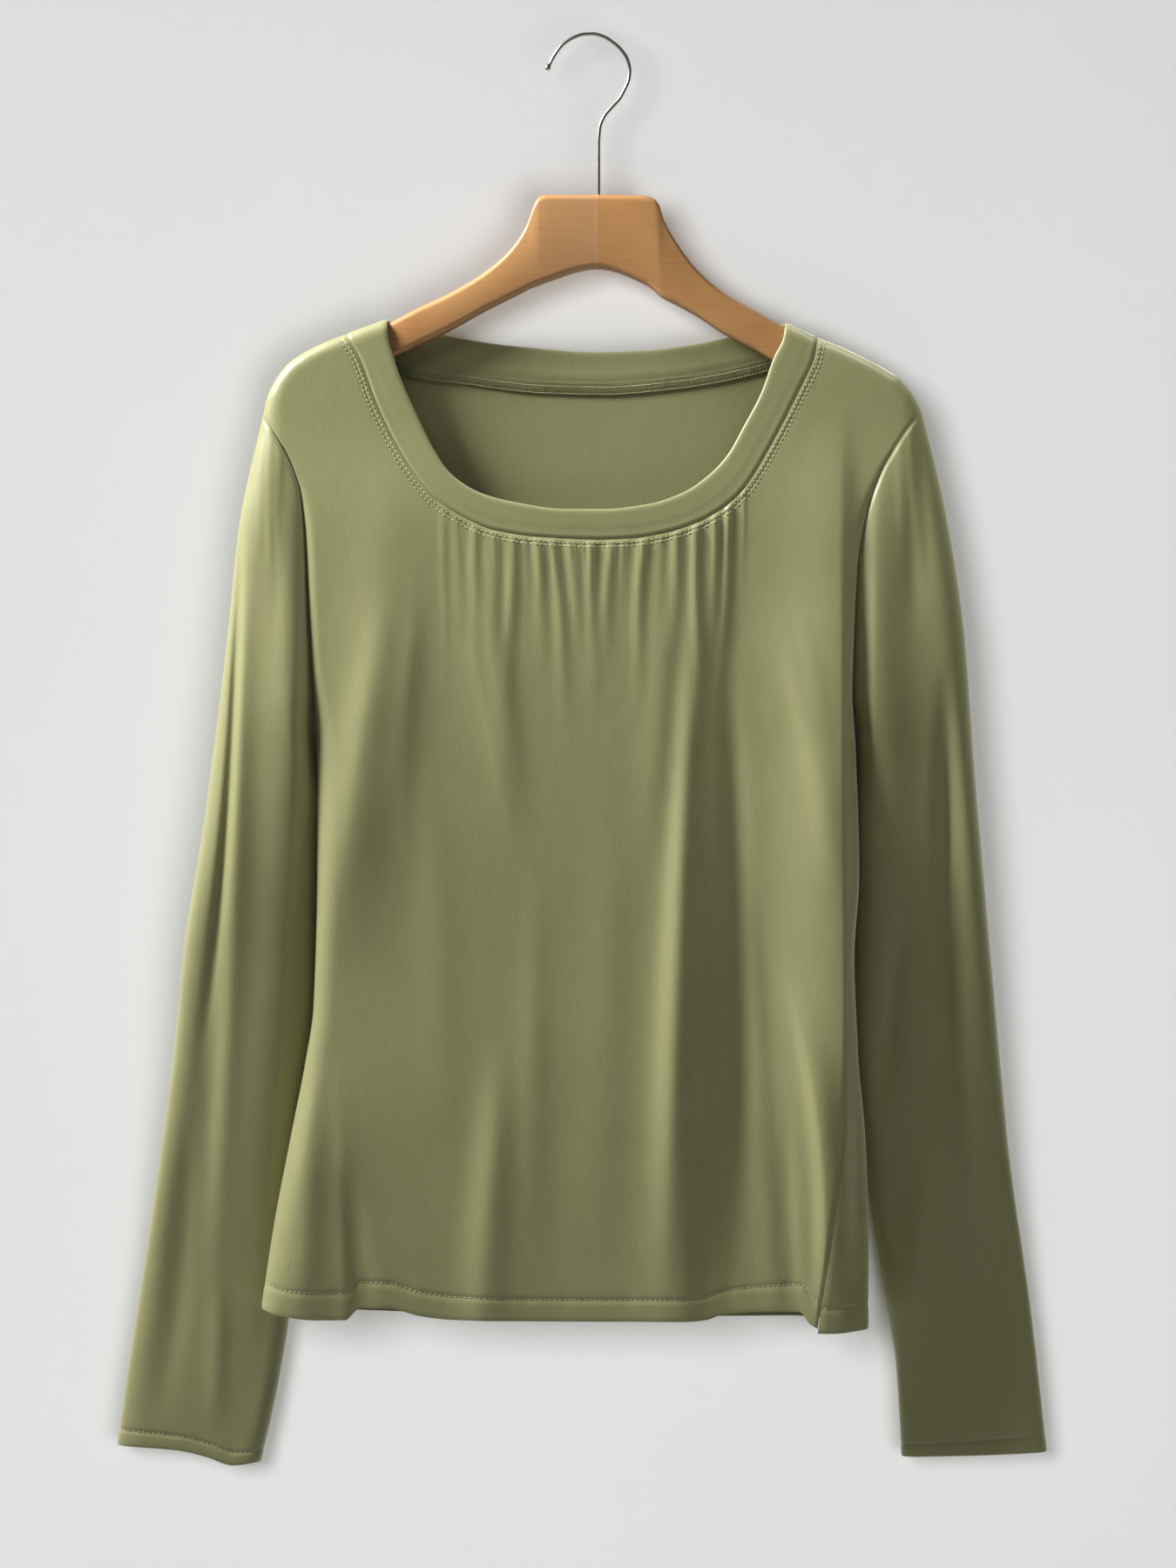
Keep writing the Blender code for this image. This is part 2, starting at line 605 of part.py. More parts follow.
def wall_table(rows, columns):
    wall = np.full((len(rows), columns), WALL)
    wall[-2:] = HEM_WALL
    return wall


def seam_directions(normals, x, z, depth, side, is_shoulder):
    """Give a panel's neck and armhole edges the directions their neighbours have."""
    arm = slice(1, len(ARM_STEPS) - 1)
    neck = np.flatnonzero(~is_shoulder)
    normals[0, neck] = field_normals(x[0, neck], z[0, neck], depth, side)
    normals[arm, 0] = field_normals(x[arm, 0], z[arm, 0], depth, side)
    normals[arm, -1] = field_normals(x[arm, -1], z[arm, -1], depth, side)


def set_tips(normals):
    normals[0, 0] = tip_normal(SHOULDER_RIGHT[1], SLEEVE_OUT_RIGHT[1])
    normals[0, -1] = tip_normal(SHOULDER_LEFT[-2], SLEEVE_OUT_LEFT[1])


def add_front():
    distances = neck_columns()
    flat, u, rows, is_shoulder = panel_grid(NECK_FRONT, distances, SIDE_SEAM_LEFT, HEM_FRONT)
    x, z = flat[..., 0], flat[..., 1]
    y = front_y(x, z)
    drop = z[0][None, :] - z
    y = y - gather_lift(u, drop)
    half = SEAM_GAP / 2
    edge = by_height(BODY_DEPTH, "edge", z)
    y[0] = np.where(is_shoulder, edge[0] - half, y[0])
    below = slice(len(ARM_STEPS) - 1, None)
    y[below, 0] = edge[below, 0] - half
    turn = smoothstep(wrap_width(z[below, -1]) / EDGE_PLANE_ROLL)
    y[below, -1] -= half * (1 - turn)
    x[below, -1] -= half * turn
    outer = np.stack([x, y, z], -1)
    normals = vertex_normals(outer, False)
    mask = np.zeros(x.shape, bool)
    mask[0] = is_shoulder
    mask[below, 0] = True
    seam_directions(normals, x, z, front_y, -1, is_shoulder)
    flatten(normals, mask)
    set_tips(normals)
    plain = (slice(PLAIN_ROW, None), slice(1, -1))
    normals[plain] = field_normals(x[plain], z[plain], front_y, -1)
    normals[below, -1] = seam_normals(z[below, -1], 1)
    obj = add_wall("front", outer, normals, wall_table(rows, len(u)), False)
    add_material(obj, (0.235, 0.249, 0.110), 0.8)


def add_back():
    distances = back_neck_columns()
    flat, u, rows, is_shoulder = panel_grid(NECK_BACK, distances, SIDE_LEFT, HEM_BACK)
    x, z = flat[..., 0], flat[..., 1]
    y = back_y(x, z)
    half = SEAM_GAP / 2
    edge = by_height(BODY_DEPTH, "edge", z)
    y[0] = np.where(is_shoulder, edge[0] + half, y[0])
    below = slice(len(ARM_STEPS) - 1, None)
    y[below, 0] = edge[below, 0] + half
    base_x, base_z = x[:, -1], z[:, -1]
    width = wrap_width(base_z)
    extra = []
    for share, step in zip(WRAP_SHARES, WRAP_STEPS):
        reach = width * (1 - share) - step
        side_x = base_x - np.abs(reach)
        side_z = base_z - WRAP_DROP * np.sin(np.pi * (1 - share) * 0.6) * smoothstep(width / 30)
        side_y = np.where(reach > 0, front_y(side_x, side_z), back_y(side_x, side_z))
        extra.append(np.stack([side_x, side_y, side_z], -1))
    turn = smoothstep(width / EDGE_PLANE_ROLL)
    extra[-1][:, 0] += half * turn
    seam_y = by_height(BODY_DEPTH, "edge", base_z) + half
    arm = np.arange(len(base_z)) < len(ARM_STEPS) - 1
    extra[-1][:, 1] = np.where(arm, back_y(base_x, base_z),
                               np.where(width > 0, extra[-1][:, 1] + half * (1 - turn), seam_y))
    outer = np.stack([x, y, z], -1)
    outer = np.concatenate([outer[:, :-2], np.stack(extra, 1)], axis=1)
    normals = -vertex_normals(outer, False)
    mask = np.zeros(outer.shape[:2], bool)
    mask[0, :len(EDGE_COLUMNS)] = True
    mask[0, -len(EDGE_COLUMNS) - 2:] = True
    mask[below, 0] = True
    seam_directions(normals, outer[..., 0], outer[..., 2], back_y, 1, is_shoulder)
    flatten(normals, mask)
    set_tips(normals)
    normals[below, -1] = seam_normals(base_z[below], 1)
    obj = add_wall("back", outer, normals, wall_table(rows, outer.shape[1]), False)
    add_material(obj, (0.225, 0.240, 0.105), 0.8)


Sleeve = namedtuple("Sleeve", "name armhole outer inner cuff hem_z soft front_folds back_folds")


def mirrored(folds):
    """The same folds on the other side of the body."""
    return [fold._replace(x_top=-fold.x_top, x_mid=-fold.x_mid, x_low=-fold.x_low,
                          left=fold.right, right=fold.left) for fold in folds]


SLEEVES = [
    Sleeve("sleeve_right", ARMHOLE_RIGHT, SLEEVE_OUT_RIGHT, SLEEVE_IN_RIGHT, CUFF_RIGHT,
           SIDE_RIGHT[-1][1], 20, RIGHT_SLEEVE_FOLDS, mirrored(SLEEVE_BACK_FOLDS)),
    Sleeve("sleeve_left", ARMHOLE_LEFT, SLEEVE_OUT_LEFT, SLEEVE_IN_LEFT, CUFF_LEFT,
           SIDE_LEFT[-1][1], 6, LEFT_SLEEVE_FOLDS, SLEEVE_BACK_FOLDS),
]


def sleeve_y(sleeve, side, x, z):
    """Depth of a sleeve at points x, z; side is -1 in front, 1 behind, 0 at the edge."""
    outer_x = at_height(sleeve.outer, z)
    inner_x = at_height(border(sleeve.armhole, sleeve.inner), z)
    width = np.abs(inner_x - outer_x)
    inset = np.clip(np.abs(x - outer_x), 0, width)
    across = inset / np.maximum(width, 1)
    outer_edge = by_height(SLEEVE_DEPTH, "outer_edge", z)
    inner_edge = by_height(SLEEVE_DEPTH, "inner_edge", z)
    edge = outer_edge + (inner_edge - outer_edge) * across
    in_front = side < 0
    soft = sleeve.soft if in_front else SLEEVE_BACK_SOFT
    low = smoothstep((LOW_ROLL_Z - z) / SLEEVE_LOW_ROLL)
    reach = soft + (SLEEVE_BACK_SOFT - soft) * low
    share = roll_share(x, z) * edge_share(width - inset, z, reach)
    depth = by_height(SLEEVE_DEPTH, "front" if in_front else "back", z)
    folds = sleeve.front_folds if in_front else sleeve.back_folds
    return edge + side * share * (depth + relief(folds, x, z))


def add_sleeve(sleeve):
    """A closed tube from the armhole seam to the cuff."""
    steps = np.array(ARM_STEPS)
    tip_z = sleeve.armhole[0][1]
    ring_z = tip_z + (sleeve.hem_z - tip_z) * UNDERARM_SHARE * steps
    hem = 1 - CUFF_DEPTH / SLEEVE_DROP
    rows = np.array(SLEEVE_ROWS + [hem - HEM_STEP_SHARE, hem, 1.0])
    count = len(steps)
    u = 0.5 - 0.5 * np.cos(np.pi * np.linspace(0, 1, count))
    flat = sleeve_patch(ring_z, sleeve.armhole, sleeve.inner, sleeve.outer, sleeve.cuff,
                        u, rows)
    x, z = flat[..., 0], flat[..., 1]
    side = np.sign(x[0, 0])
    x[0] += side * SEAM_GAP / 2
    front = sleeve_y(sleeve, -1, x, z)
    back = sleeve_y(sleeve, 1, x, z)
    middle = sleeve_y(sleeve, 0, x, z)
    for edge in (0, -1):
        front[:, edge] = middle[:, edge]
    front_grid = np.stack([x, front, z], -1)
    back_grid = np.stack([x, back, z], -1)[:, 1:-1][:, ::-1]
    outer = np.concatenate([front_grid, back_grid], axis=1)
    normals = vertex_normals(outer, True) * -side

    seam_x, seam_z = x[0, 1:-1], z[0, 1:-1]
    normals[0, 1:count - 1] = field_normals(seam_x, seam_z, partial(sleeve_y, sleeve, -1), -1)
    normals[0, count:] = field_normals(seam_x, seam_z, partial(sleeve_y, sleeve, 1), 1)[::-1]
    shoulder_point = SHOULDER_LEFT[-2] if side > 0 else SHOULDER_RIGHT[1]
    normals[0, 0] = tip_normal(shoulder_point, sleeve.outer[1])
    wall = wall_table(rows, outer.shape[1])
    obj = add_wall(sleeve.name, outer, normals, wall, True)
    add_material(obj, (0.230, 0.245, 0.108), 0.8)


def add_neckband():
    """One ring of doubled cloth between the neck seam and the neck opening."""
    halves = []
    for seam, inner, distances, depth in (
            (NECK_FRONT, BAND_FRONT, neck_columns(), front_y),
            (NECK_BACK, BAND_BACK, back_neck_columns(), back_y)):
        low = along(seam, distances)
        low = low + inward(low, NECK_CENTRE) * SEAM_GAP / 2
        high = along(inner, distances / chords(seam)[-1] * chords(inner)[-1])
        rows = []
        for share, _ in BAND_ROWS:
            flat = low + (high - low) * share
            y = depth(flat[:, 0], flat[:, 1])
            y[0] = y[-1] = 0
            rows.append(np.stack([flat[:, 0], y, flat[:, 1]], -1))
        halves.append(np.stack(rows))
    front, back = halves
    outer = np.concatenate([front, back[:, 1:-1][:, ::-1]], axis=1)
    normals = -vertex_normals(outer, True)
    count = front.shape[1]
    for part, field, side in ((slice(1, count - 1), front_y, -1),
                              (slice(count, None), back_y, 1)):
        normals[0, part] = field_normals(outer[0, part, 0], outer[0, part, 2], field, side)
    outer[-1] -= normals[-1] * BAND_ROLL
    wall = np.tile(np.array([[row[1]] for row in BAND_ROWS]), (1, outer.shape[1]))
    obj = add_wall("neckband", outer, normals, wall, True)
    add_material(obj, (0.240, 0.255, 0.115), 0.8)


def rounded_section(half, top, bottom, share):
    """A rounded rectangle in y, z for one place along the bar."""
    half = half * share
    radius = min(BAR_ROUNDING * share, (top - bottom) / 2.2, half * 0.9)
    points = []
    for side_y, side_z, start in ((1, 1, 0), (-1, 1, 90), (-1, -1, 180), (1, -1, 270)):
        for angle in (0, 30, 60, 90):
            a = np.radians(start + angle)
            centre_z = top - radius if side_z > 0 else bottom + radius
            points.append((side_y * (half - radius) + radius * np.cos(a),
                           centre_z + radius * np.sin(a)))
    return points


def add_bar():
    """The wooden bar, bored at the top for the stem of the hook."""
    rings = []
    last = len(BAR) - 1
    for index, row in enumerate(BAR):
        share = BAR_END_SHARE if index in (0, last) else 1
        section = rounded_section(BAR_THICKNESS / 2, row.top, row.bottom, share)
        rings.append([(row.x, y, z) for y, z in section])
    points = np.array([point for ring in rings for point in ring], float)
    count = len(rings[0])
    faces = [tuple(range(count)), tuple(range(last * count, (last + 1) * count))]
    for i in range(last):
        for j in range(count):
            k = (j + 1) % count
            faces.append((i * count + j, i * count + k,
                          (i + 1) * count + k, (i + 1) * count + j))
    bar = add_object("hanger_bar", points, faces)
    add_material(bar, (0.52, 0.27, 0.11), 0.4)

    depth = STEM_SINK + BORE_GAP
    bpy.ops.mesh.primitive_cylinder_add(
        vertices=16, radius=(WIRE_RADIUS + BORE_GAP) * MM, depth=2 * depth * MM,
        location=(STEM_X * MM, 0, BAR_TOP_Z * MM))
    cutter = bpy.context.object
    cutter.name = "stem_bore"
    cutter.display_type = "WIRE"
    cutter.hide_render = True
    bore = bar.modifiers.new("Stem bore", "BOOLEAN")
    bore.operation = "DIFFERENCE"
    bore.solver = "EXACT"
    bore.object = cutter


def add_hook():
    """The wire hook as a swept round with a small ball at its free end."""
    total = chords(HOOK)[-1]
    spots = np.linspace(BALL_RADIUS, total, 46)
    path = along(HOOK, spots)
    ball = along(HOOK, np.array([0.0, 0.5, 1.9, 3.3]))
    stem = np.array([[STEM_X, BAR_TOP_Z - STEM_SINK]])
    path = np.concatenate([ball, path[2:], stem])
    radii = np.full(len(path), WIRE_RADIUS)
    radii[:4] = (BALL_RADIUS * 0.45, BALL_RADIUS * 0.85, BALL_RADIUS, BALL_RADIUS * 0.75)
    tangent = np.gradient(path, axis=0)
    tangent /= np.linalg.norm(tangent, axis=1, keepdims=True)
    sides = 10
    points = []
    for centre, radius, along_wire in zip(path, radii, tangent):
        for step in range(sides):
            angle = 2 * np.pi * step / sides
            across = radius * np.cos(angle)
            points.append((centre[0] - along_wire[1] * across, radius * np.sin(angle),
                           centre[1] + along_wire[0] * across))
    count = len(path)
    faces = [tuple(range(sides)), tuple(range((count - 1) * sides, count * sides))]
    for i in range(count - 1):
        for j in range(sides):
            k = (j + 1) % sides
            faces.append((i * sides + j, i * sides + k, (i + 1) * sides + k,
                          (i + 1) * sides + j))
    hook = add_object("hanger_hook", np.array(points), faces)
    add_material(hook, (0.55, 0.54, 0.50), 0.35, 1.0)


def main():
    for obj in list(bpy.data.objects):
        bpy.data.objects.remove(obj, do_unlink=True)
    add_front()
    add_back()
    for sleeve in SLEEVES:
        add_sleeve(sleeve)
    add_neckband()
    add_bar()
    add_hook()


main()
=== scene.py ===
import math
from collections import namedtuple
from functools import partial

import bmesh
import bpy
import numpy as np
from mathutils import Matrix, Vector
from mathutils.bvhtree import BVHTree


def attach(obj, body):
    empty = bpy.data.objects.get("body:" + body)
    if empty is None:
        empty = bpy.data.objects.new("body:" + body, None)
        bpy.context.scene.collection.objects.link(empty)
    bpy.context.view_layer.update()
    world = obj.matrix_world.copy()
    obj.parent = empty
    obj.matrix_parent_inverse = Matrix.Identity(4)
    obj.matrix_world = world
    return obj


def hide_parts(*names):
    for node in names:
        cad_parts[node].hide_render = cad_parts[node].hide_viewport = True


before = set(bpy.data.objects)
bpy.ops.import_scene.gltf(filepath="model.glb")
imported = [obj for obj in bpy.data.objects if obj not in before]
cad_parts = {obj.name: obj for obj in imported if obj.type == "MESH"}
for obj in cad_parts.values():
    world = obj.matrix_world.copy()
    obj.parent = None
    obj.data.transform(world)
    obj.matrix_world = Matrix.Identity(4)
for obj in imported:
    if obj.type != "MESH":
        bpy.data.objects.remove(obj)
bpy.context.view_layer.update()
mm, metre = 0.001, 1000.0   # a millimetre in metres, a metre in millimetres

# What a user would change on the cloth, in millimetres.
cloth = {
    "wall": 0.9,             # single jersey, drawn a little thick
    "hemWall": 1.9,          # turned-up hem and cuff
    "hemDepth": 13.0,
    "cuffDepth": 10.0,
    "hemLift": 0.15,         # how far the doubled hem stands proud
    "hemEdgeRoll": 0.3,
    "seamGap": 0.1,
    "seamDip": 0.65,         # the cloth sinks into each seam
    "seamDipReach": 2.2,
    "stitchGroove": 0.3,     # the channel that the cover stitch presses
    "stitchAway": 3.8,
    "stitchReach": 1.1,
    "columnStep": 2.4,       # size of a cell of the panels
    "rowStep": 3.4,
    "pucker": 0.2,           # little waves that sewing leaves along a hem
    "wander": 1.1,           # how far a fold strays from its line
    "hemGroove": 0.45,       # how deep the hem's stitching presses
    "hemGrooveReach": 0.9,
    "puckerReach": 6.0,
    "threadLift": 0.05,      # how far the stitches stand off the cloth
    "coverLift": 0.08,
}
halfGap = cloth["seamGap"] / 2

# How softly the cloth turns: over the shoulders, at the edges of the sleeves
# and sides, and beside the armhole seams.
turn = {
    "shoulder": 8.0, "sleeve": 16.0, "side": 14.0, "leftSide": 4.5, "power": 2.4,
    "frontRight": 7.0, "frontLeft": 6.0, "back": 9.0, "sleeveBack": 12.0,
    "lowZ": -380.0, "bodyLow": 40.0, "sleeveLow": 60.0,
    "shoulderLowZ": -205.0, "shoulderLow": 40.0, "edgePlane": 6.0,
}
tipZ, underarmZ, wrapZ = -226, -396, -500
bodyDrop, sleeveDrop = 470.0, 640.0   # lengths of cloth that the rows are spaced along
underarmShare = 0.3103                # of the drop, where the armhole ends
hemUnderNeck = (-152, 118)            # x on the hem below the two ends of the neck
neckCentre = (-5, -100)
drawInReach = 68
fieldStep = 0.6

# Outlines seen from the front: x to the wearer's left and z up, in millimetres
# from the inside top of the hook.
shoulderRight = [
    (-198, -230), (-195, -217), (-190, -207), (-183, -198), (-173, -191), (-161, -185),
    (-148, -180)
]
shoulderLeft = [(136, -182), (149, -187), (168, -196), (185, -206), (194, -216), (199, -226)]
bandTopRight = [(-136, -175.5), (-123, -171)]
bandTopLeft = [(117, -173), (127, -177)]
neckFront = [
    (-148, -180), (-139, -195), (-129, -222), (-119, -243), (-109, -260), (-93, -280),
    (-78, -290), (-60, -298), (-36, -302), (3, -304), (27, -303), (48, -299), (65, -293),
    (79, -285), (90, -275), (99, -262), (107, -248), (116, -231), (125, -213), (133, -196),
    (136, -182)
]
bandFront = [
    (-123, -171), (-122, -183), (-119, -194), (-113, -211), (-104, -231), (-94, -251),
    (-84, -265), (-67, -276), (-50, -281), (-14, -286), (7, -286), (34, -283), (55, -276),
    (71, -265), (82, -253), (91, -237), (102, -216), (110, -194), (115, -184), (117, -173)
]
neckBack = [
    (-148, -180), (-127, -191), (-107, -198), (-73, -203), (-31, -208), (8, -209), (55, -205),
    (97, -197), (119, -190), (136, -182)
]
bandBack = [
    (-123, -171), (-109, -174), (-87, -180), (-65, -184), (-40, -187), (1, -190), (33, -189),
    (58, -186), (83, -181), (101, -176), (117, -173)
]
armholeRight = [
    (-198, -230), (-190, -242), (-181, -258), (-175, -275), (-172, -300), (-170, -345),
    (-167, -396)
]
armholeLeft = [
    (199, -226), (187, -242), (175, -262), (165, -288), (160, -317), (158, -357), (157, -397)
]
sideRight = [
    (-167, -396), (-165, -425), (-165, -505), (-167, -585), (-172, -619), (-180, -660),
    (-191, -718), (-198, -765)
]
sideLeft = [
    (157, -397), (159, -430), (161, -504), (158, -555), (160, -607), (165, -673), (167, -733),
    (167, -776)
]
sideSeamLeft = sideLeft[:3] + [
    (158, -540), (156, -555), (153, -571), (150, -662), (137, -761), (135, -776)
]
hemFront = [
    (-198, -765), (-183, -769), (-163, -771), (-147, -771), (-138, -764), (-122, -764),
    (-101, -769), (-81, -771), (11, -772), (56, -772), (69, -771), (78, -768), (107, -766),
    (124, -766), (130, -773), (135, -776)
]
hemBack = [
    (-198, -765), (-150, -768), (-90, -770), (0, -771), (70, -772), (120, -772), (150, -774),
    (167, -776)
]
sleeveOutRight = [
    (-198, -230), (-202, -247), (-207, -268), (-212, -294), (-219, -361), (-227, -427),
    (-235, -485), (-245, -545), (-252, -612), (-266, -711), (-281, -808), (-287, -851)
]
sleeveInRight = [
    (-167, -396), (-168, -415), (-166, -435), (-162, -460), (-163, -556), (-172, -662),
    (-183, -773), (-191, -821), (-200, -861)
]
cuffRight = [(-287, -851), (-250, -854), (-233, -858), (-217, -863), (-200, -861)]
sleeveOutLeft = [
    (199, -226), (207, -257), (215, -294), (225, -361), (230, -430), (239, -533), (248, -629),
    (253, -677), (266, -766), (276, -855)
]
sleeveInLeft = [
    (157, -397), (160, -415), (160, -440), (158, -470), (157, -578), (163, -666), (175, -747),
    (185, -806), (188, -858)
]
cuffLeft = [(276, -855), (232, -857), (188, -858)]


def rowsOf(columns, *rows):
    kind = namedtuple("Row", columns)
    return [kind(*row) for row in rows]


# Depths: the plane of the side edges, then how far each face stands from it.
bodyDepth = rowsOf("z edge front back",
    (-165, 0, 8.8, 8.8), (-230, 0, 9.5, 9.5), (-300, -1, 12, 11), (underarmZ, -3, 13, 12),
    (-550, -6, 14, 13), (-662, -9, 14, 15), (-780, -10, 15, 16)
)
sleeveDepth = rowsOf("z outerEdge innerEdge front back",
    (-226, 0, 0, 9.5, 9.5), (-300, -0.5, -1, 12, 11), (-396, -1.5, -3, 12.5, 12),
    (-440, -1, 2, 14, 10.5), (-500, 0, 8, 15, 8.5), (-560, 2, 12, 13.5, 8), (-662, 8, 15, 11, 8),
    (-772, 14, 17, 8, 8), (-864, 14, 15, 7, 7)
)
armholeCrease = rowsOf("z share",
    (tipZ, 0), (-250, 0.03), (-275, 0.2), (-300, 0.42), (-350, 0.62), (-384, 0.85), (underarmZ, 1)
)

# A fold is a ridge, or a trough where its height is below zero: its two ends,
# its x at the top, middle and low end, its reach to each side and its height.
foldColumns = "zTop zLow xTop xMid xLow left right height"
frontFolds = rowsOf(foldColumns,
    (-300, -800, 64, 52, 46, 8, 9, 4.5), (-340, -800, 80, 87, 81, 9, 8, -4.5),
    (-305, -600, 83, 95, 122, 6, 12, 0.8), (-560, -800, 118, 137, 135, 5, 14, 6),
    (-640, -800, 116, 119, 121, 8, 5, -1.6), (-330, -520, 120, 138, 151, 8, 8, 1.2),
    (-340, -530, -128, -146, -155, 9, 9, 0.3), (-330, -490, -105, -112, -122, 8, 8, 0.8),
    (-305, -480, -69, -55, -41, 8, 8, 1.6), (-610, -810, -164, -172, -172, 12, 13, 5),
    (-665, -810, -146, -142, -138, 5, 9, -2.4), (-600, -800, -56, -61, -66, 10, 10, 1.4),
    (-420, -865, 64, 58, 54, 22, 10, 4.2), (-215, -440, 146, 150, 152, 30, 9, 3.6),
    (-280, -850, 147, 151, 146, 36, 7, 12), (-520, -840, 84, 92, 100, 26, 10, -2.6),
    (-230, -600, -118, -134, -150, 22, 26, 2.6), (-315, -570, -119, -138, -152, 12, 18, 3.4),
    (-336, -540, 112, 131, 150, 7, 7, 1.2), (-300, -520, 46, 42, 34, 10, 8, 1.3),
    (-420, -690, -96, -92, -88, 12, 12, 0.8), (-430, -800, 12, 8, 2, 14, 14, 0.9),
    (-480, -800, -32, -36, -34, 9, 9, 0.9), (-600, -840, -56, -60, -64, 12, 16, 2.4)
)
backFolds = rowsOf(foldColumns,
    (-240, -620, -60, -68, -78, 12, 12, 2), (-260, -800, 30, 38, 46, 12, 12, 2.6),
    (-420, -800, -112, -118, -126, 11, 13, 3), (-470, -800, 92, 98, 108, 10, 14, 3),
    (-560, -800, -20, -24, -30, 9, 12, 2.2), (-230, -460, 90, 100, 112, 10, 14, 2.2),
    (-240, -470, -100, -112, -124, 10, 14, 2.3), (-300, -620, -10, -14, -16, 10, 12, 1.8),
    (-330, -700, 62, 66, 74, 12, 12, 2.4), (-420, -790, -40, -48, -52, 12, 14, 2.6),
    (-560, -850, 6, 10, 14, 12, 12, 2.2), (-480, -850, 112, 118, 120, 14, 12, 2.6)
)
rightSleeveFolds = rowsOf(foldColumns,
    (-262, -640, -209, -218, -238, 3, 3, -4), (-290, -820, -207, -217, -232, 5, 9, 1.7),
    (-255, -380, -186, -188, -190, 4, 4, -0.5), (-215, -840, -182, -184, -214, 20, 9, 6.6),
    (-300, -800, -203, -213, -228, 9, 25, 3.8), (-640, -850, -240, -250, -262, 8, 7, -1.8),
    (-740, -850, -226, -226, -226, 6, 5, 1.2)
)
leftSleeveFolds = rowsOf(foldColumns,
    (-250, -370, 191, 193, 195, 5, 5, -0.8), (-365, -660, 213, 213, 218, 7, 7, -4),
    (-500, -660, 188, 181, 177, 6, 6, -2.5), (-660, -800, 202, 197, 190, 9, 9, 2.2),
    (-240, -600, 171, 171, 173, 6, 16, 3.6), (-345, -640, 177, 181, 184, 14, 15, 2.4),
    (-520, -800, 226, 228, 236, 7, 8, 1.4), (-640, -850, 244, 252, 260, 6, 7, -1.6),
    (-740, -850, 212, 210, 214, 5, 6, 0.9)
)
sleeveBackFolds = rowsOf(foldColumns,
    (-300, -640, 196, 205, 216, 9, 9, 2.5), (-560, -820, 190, 205, 224, 10, 10, 2),
    (-270, -560, 182, 187, 192, 7, 8, 1.8), (-590, -860, 212, 220, 230, 8, 8, 1.6)
)

# Sharp creases: the same columns as a fold, with an edge along the middle. One
# below zero is a nick whose far side catches the light.
frontEdges = rowsOf(foldColumns,
    (-300, -540, -103, -110, -118, 9, 12, 0.9), (-306, -520, -78, -62, -38, 8, 8, 1),
    (-270, -520, 83, 89, 99, 10, 20, -3), (-400, -830, 88, 108, 119, 16, 24, -4.6),
    (-610, -815, -152, -147, -143, 17, 12, 3.4)
)
backEdges = rowsOf(foldColumns,
    (-250, -560, -64, -76, -90, 10, 8, 1.6), (-300, -700, 50, 58, 66, 8, 12, -1.8),
    (-480, -815, -118, -122, -128, 12, 8, 2.2)
)
rightSleeveEdges = rowsOf(foldColumns,
    (-205, -350, -193, -192, -191, 2.5, 3, 1), (-205, -340, -187, -187, -187, 2, 2.5, 0.9),
    (-205, -330, -202, -200, -199, 2.5, 4, 0.7), (-320, -640, -211, -219, -231, 5, 10, 1.6)
)
leftSleeveEdges = rowsOf(foldColumns,
    (-230, -400, 187, 190, 193, 9, 7, -0.5), (-205, -330, 185, 187, 188, 2.2, 2.5, 1),
    (-205, -320, 191, 193, 194, 2.2, 2.5, 0.9), (-215, -350, 198, 200, 202, 4, 6, -1),
    (-375, -700, 212, 212, 216, 6, 10, -2.4), (-660, -830, 204, 198, 192, 9, 9, 1.6)
)

# Gathers under the band, and the little pleats between them.
gatherColumns = "x run height"
gathers = rowsOf(gatherColumns,
    (-69, 70, 1.3), (-59, 50, 1.6), (-47, 82, 1.9), (-34, 60, 1.8), (-23, 88, 2), (-12, 55, 1.7),
    (0, 76, 2.1), (12, 62, 1.8), (31, 84, 2), (52, 58, 1.9), (62, 95, 2.3), (73, 66, 2),
    (83, 90, 1.9)
)
littlePleats = rowsOf(gatherColumns,
    (-88, 90, 0.6), (-80, 60, 0.7), (-64, 30, 1.1), (-53, 46, 0.8), (-41, 34, 1.2),
    (-29, 26, 1.2), (-6, 40, 1.1), (20, 28, 1.4), (41, 44, 1), (91, 50, 0.8)
)
gatherForm = {"rise": 4.0, "halfWidth": 3.6, "pleatHalfWidth": 2.4, "stretch": 1.4,
              "lean": 0.06, "waver": 0.9, "waverMm": 17.0, "widen": 1.3, "power": 1.2}


def monotone(knots, values, at):  # a cubic through the rows, with no bumps between
    knots, values = np.asarray(knots, float), np.asarray(values, float)
    steps = np.diff(knots)
    slopes = np.diff(values) / steps
    tangents = np.zeros_like(values)
    tangents[0], tangents[-1] = slopes[0], slopes[-1]
    product = slopes[:-1] * slopes[1:]
    weightA = 2 * steps[1:] + steps[:-1]
    weightB = steps[1:] + 2 * steps[:-1]
    safeA = np.where(product > 0, slopes[:-1], 1)
    safeB = np.where(product > 0, slopes[1:], 1)
    mean = (weightA + weightB) / (weightA / safeA + weightB / safeB)
    tangents[1:-1] = np.where(product > 0, mean, 0)
    at = np.clip(np.asarray(at, float), knots[0], knots[-1])
    index = np.clip(np.searchsorted(knots, at, side="right") - 1, 0, len(steps) - 1)
    h = steps[index]
    t = (at - knots[index]) / h
    return ((2 * t ** 3 - 3 * t ** 2 + 1) * values[index]
            + (t ** 3 - 2 * t ** 2 + t) * h * tangents[index]
            + (3 * t ** 2 - 2 * t ** 3) * values[index + 1]
            + (t ** 3 - t ** 2) * h * tangents[index + 1])


def chords(rows):  # distance along a line of points, at each of them
    steps = np.linalg.norm(np.diff(np.asarray(rows, float), axis=0), axis=1)
    return np.concatenate([[0], np.cumsum(steps)])


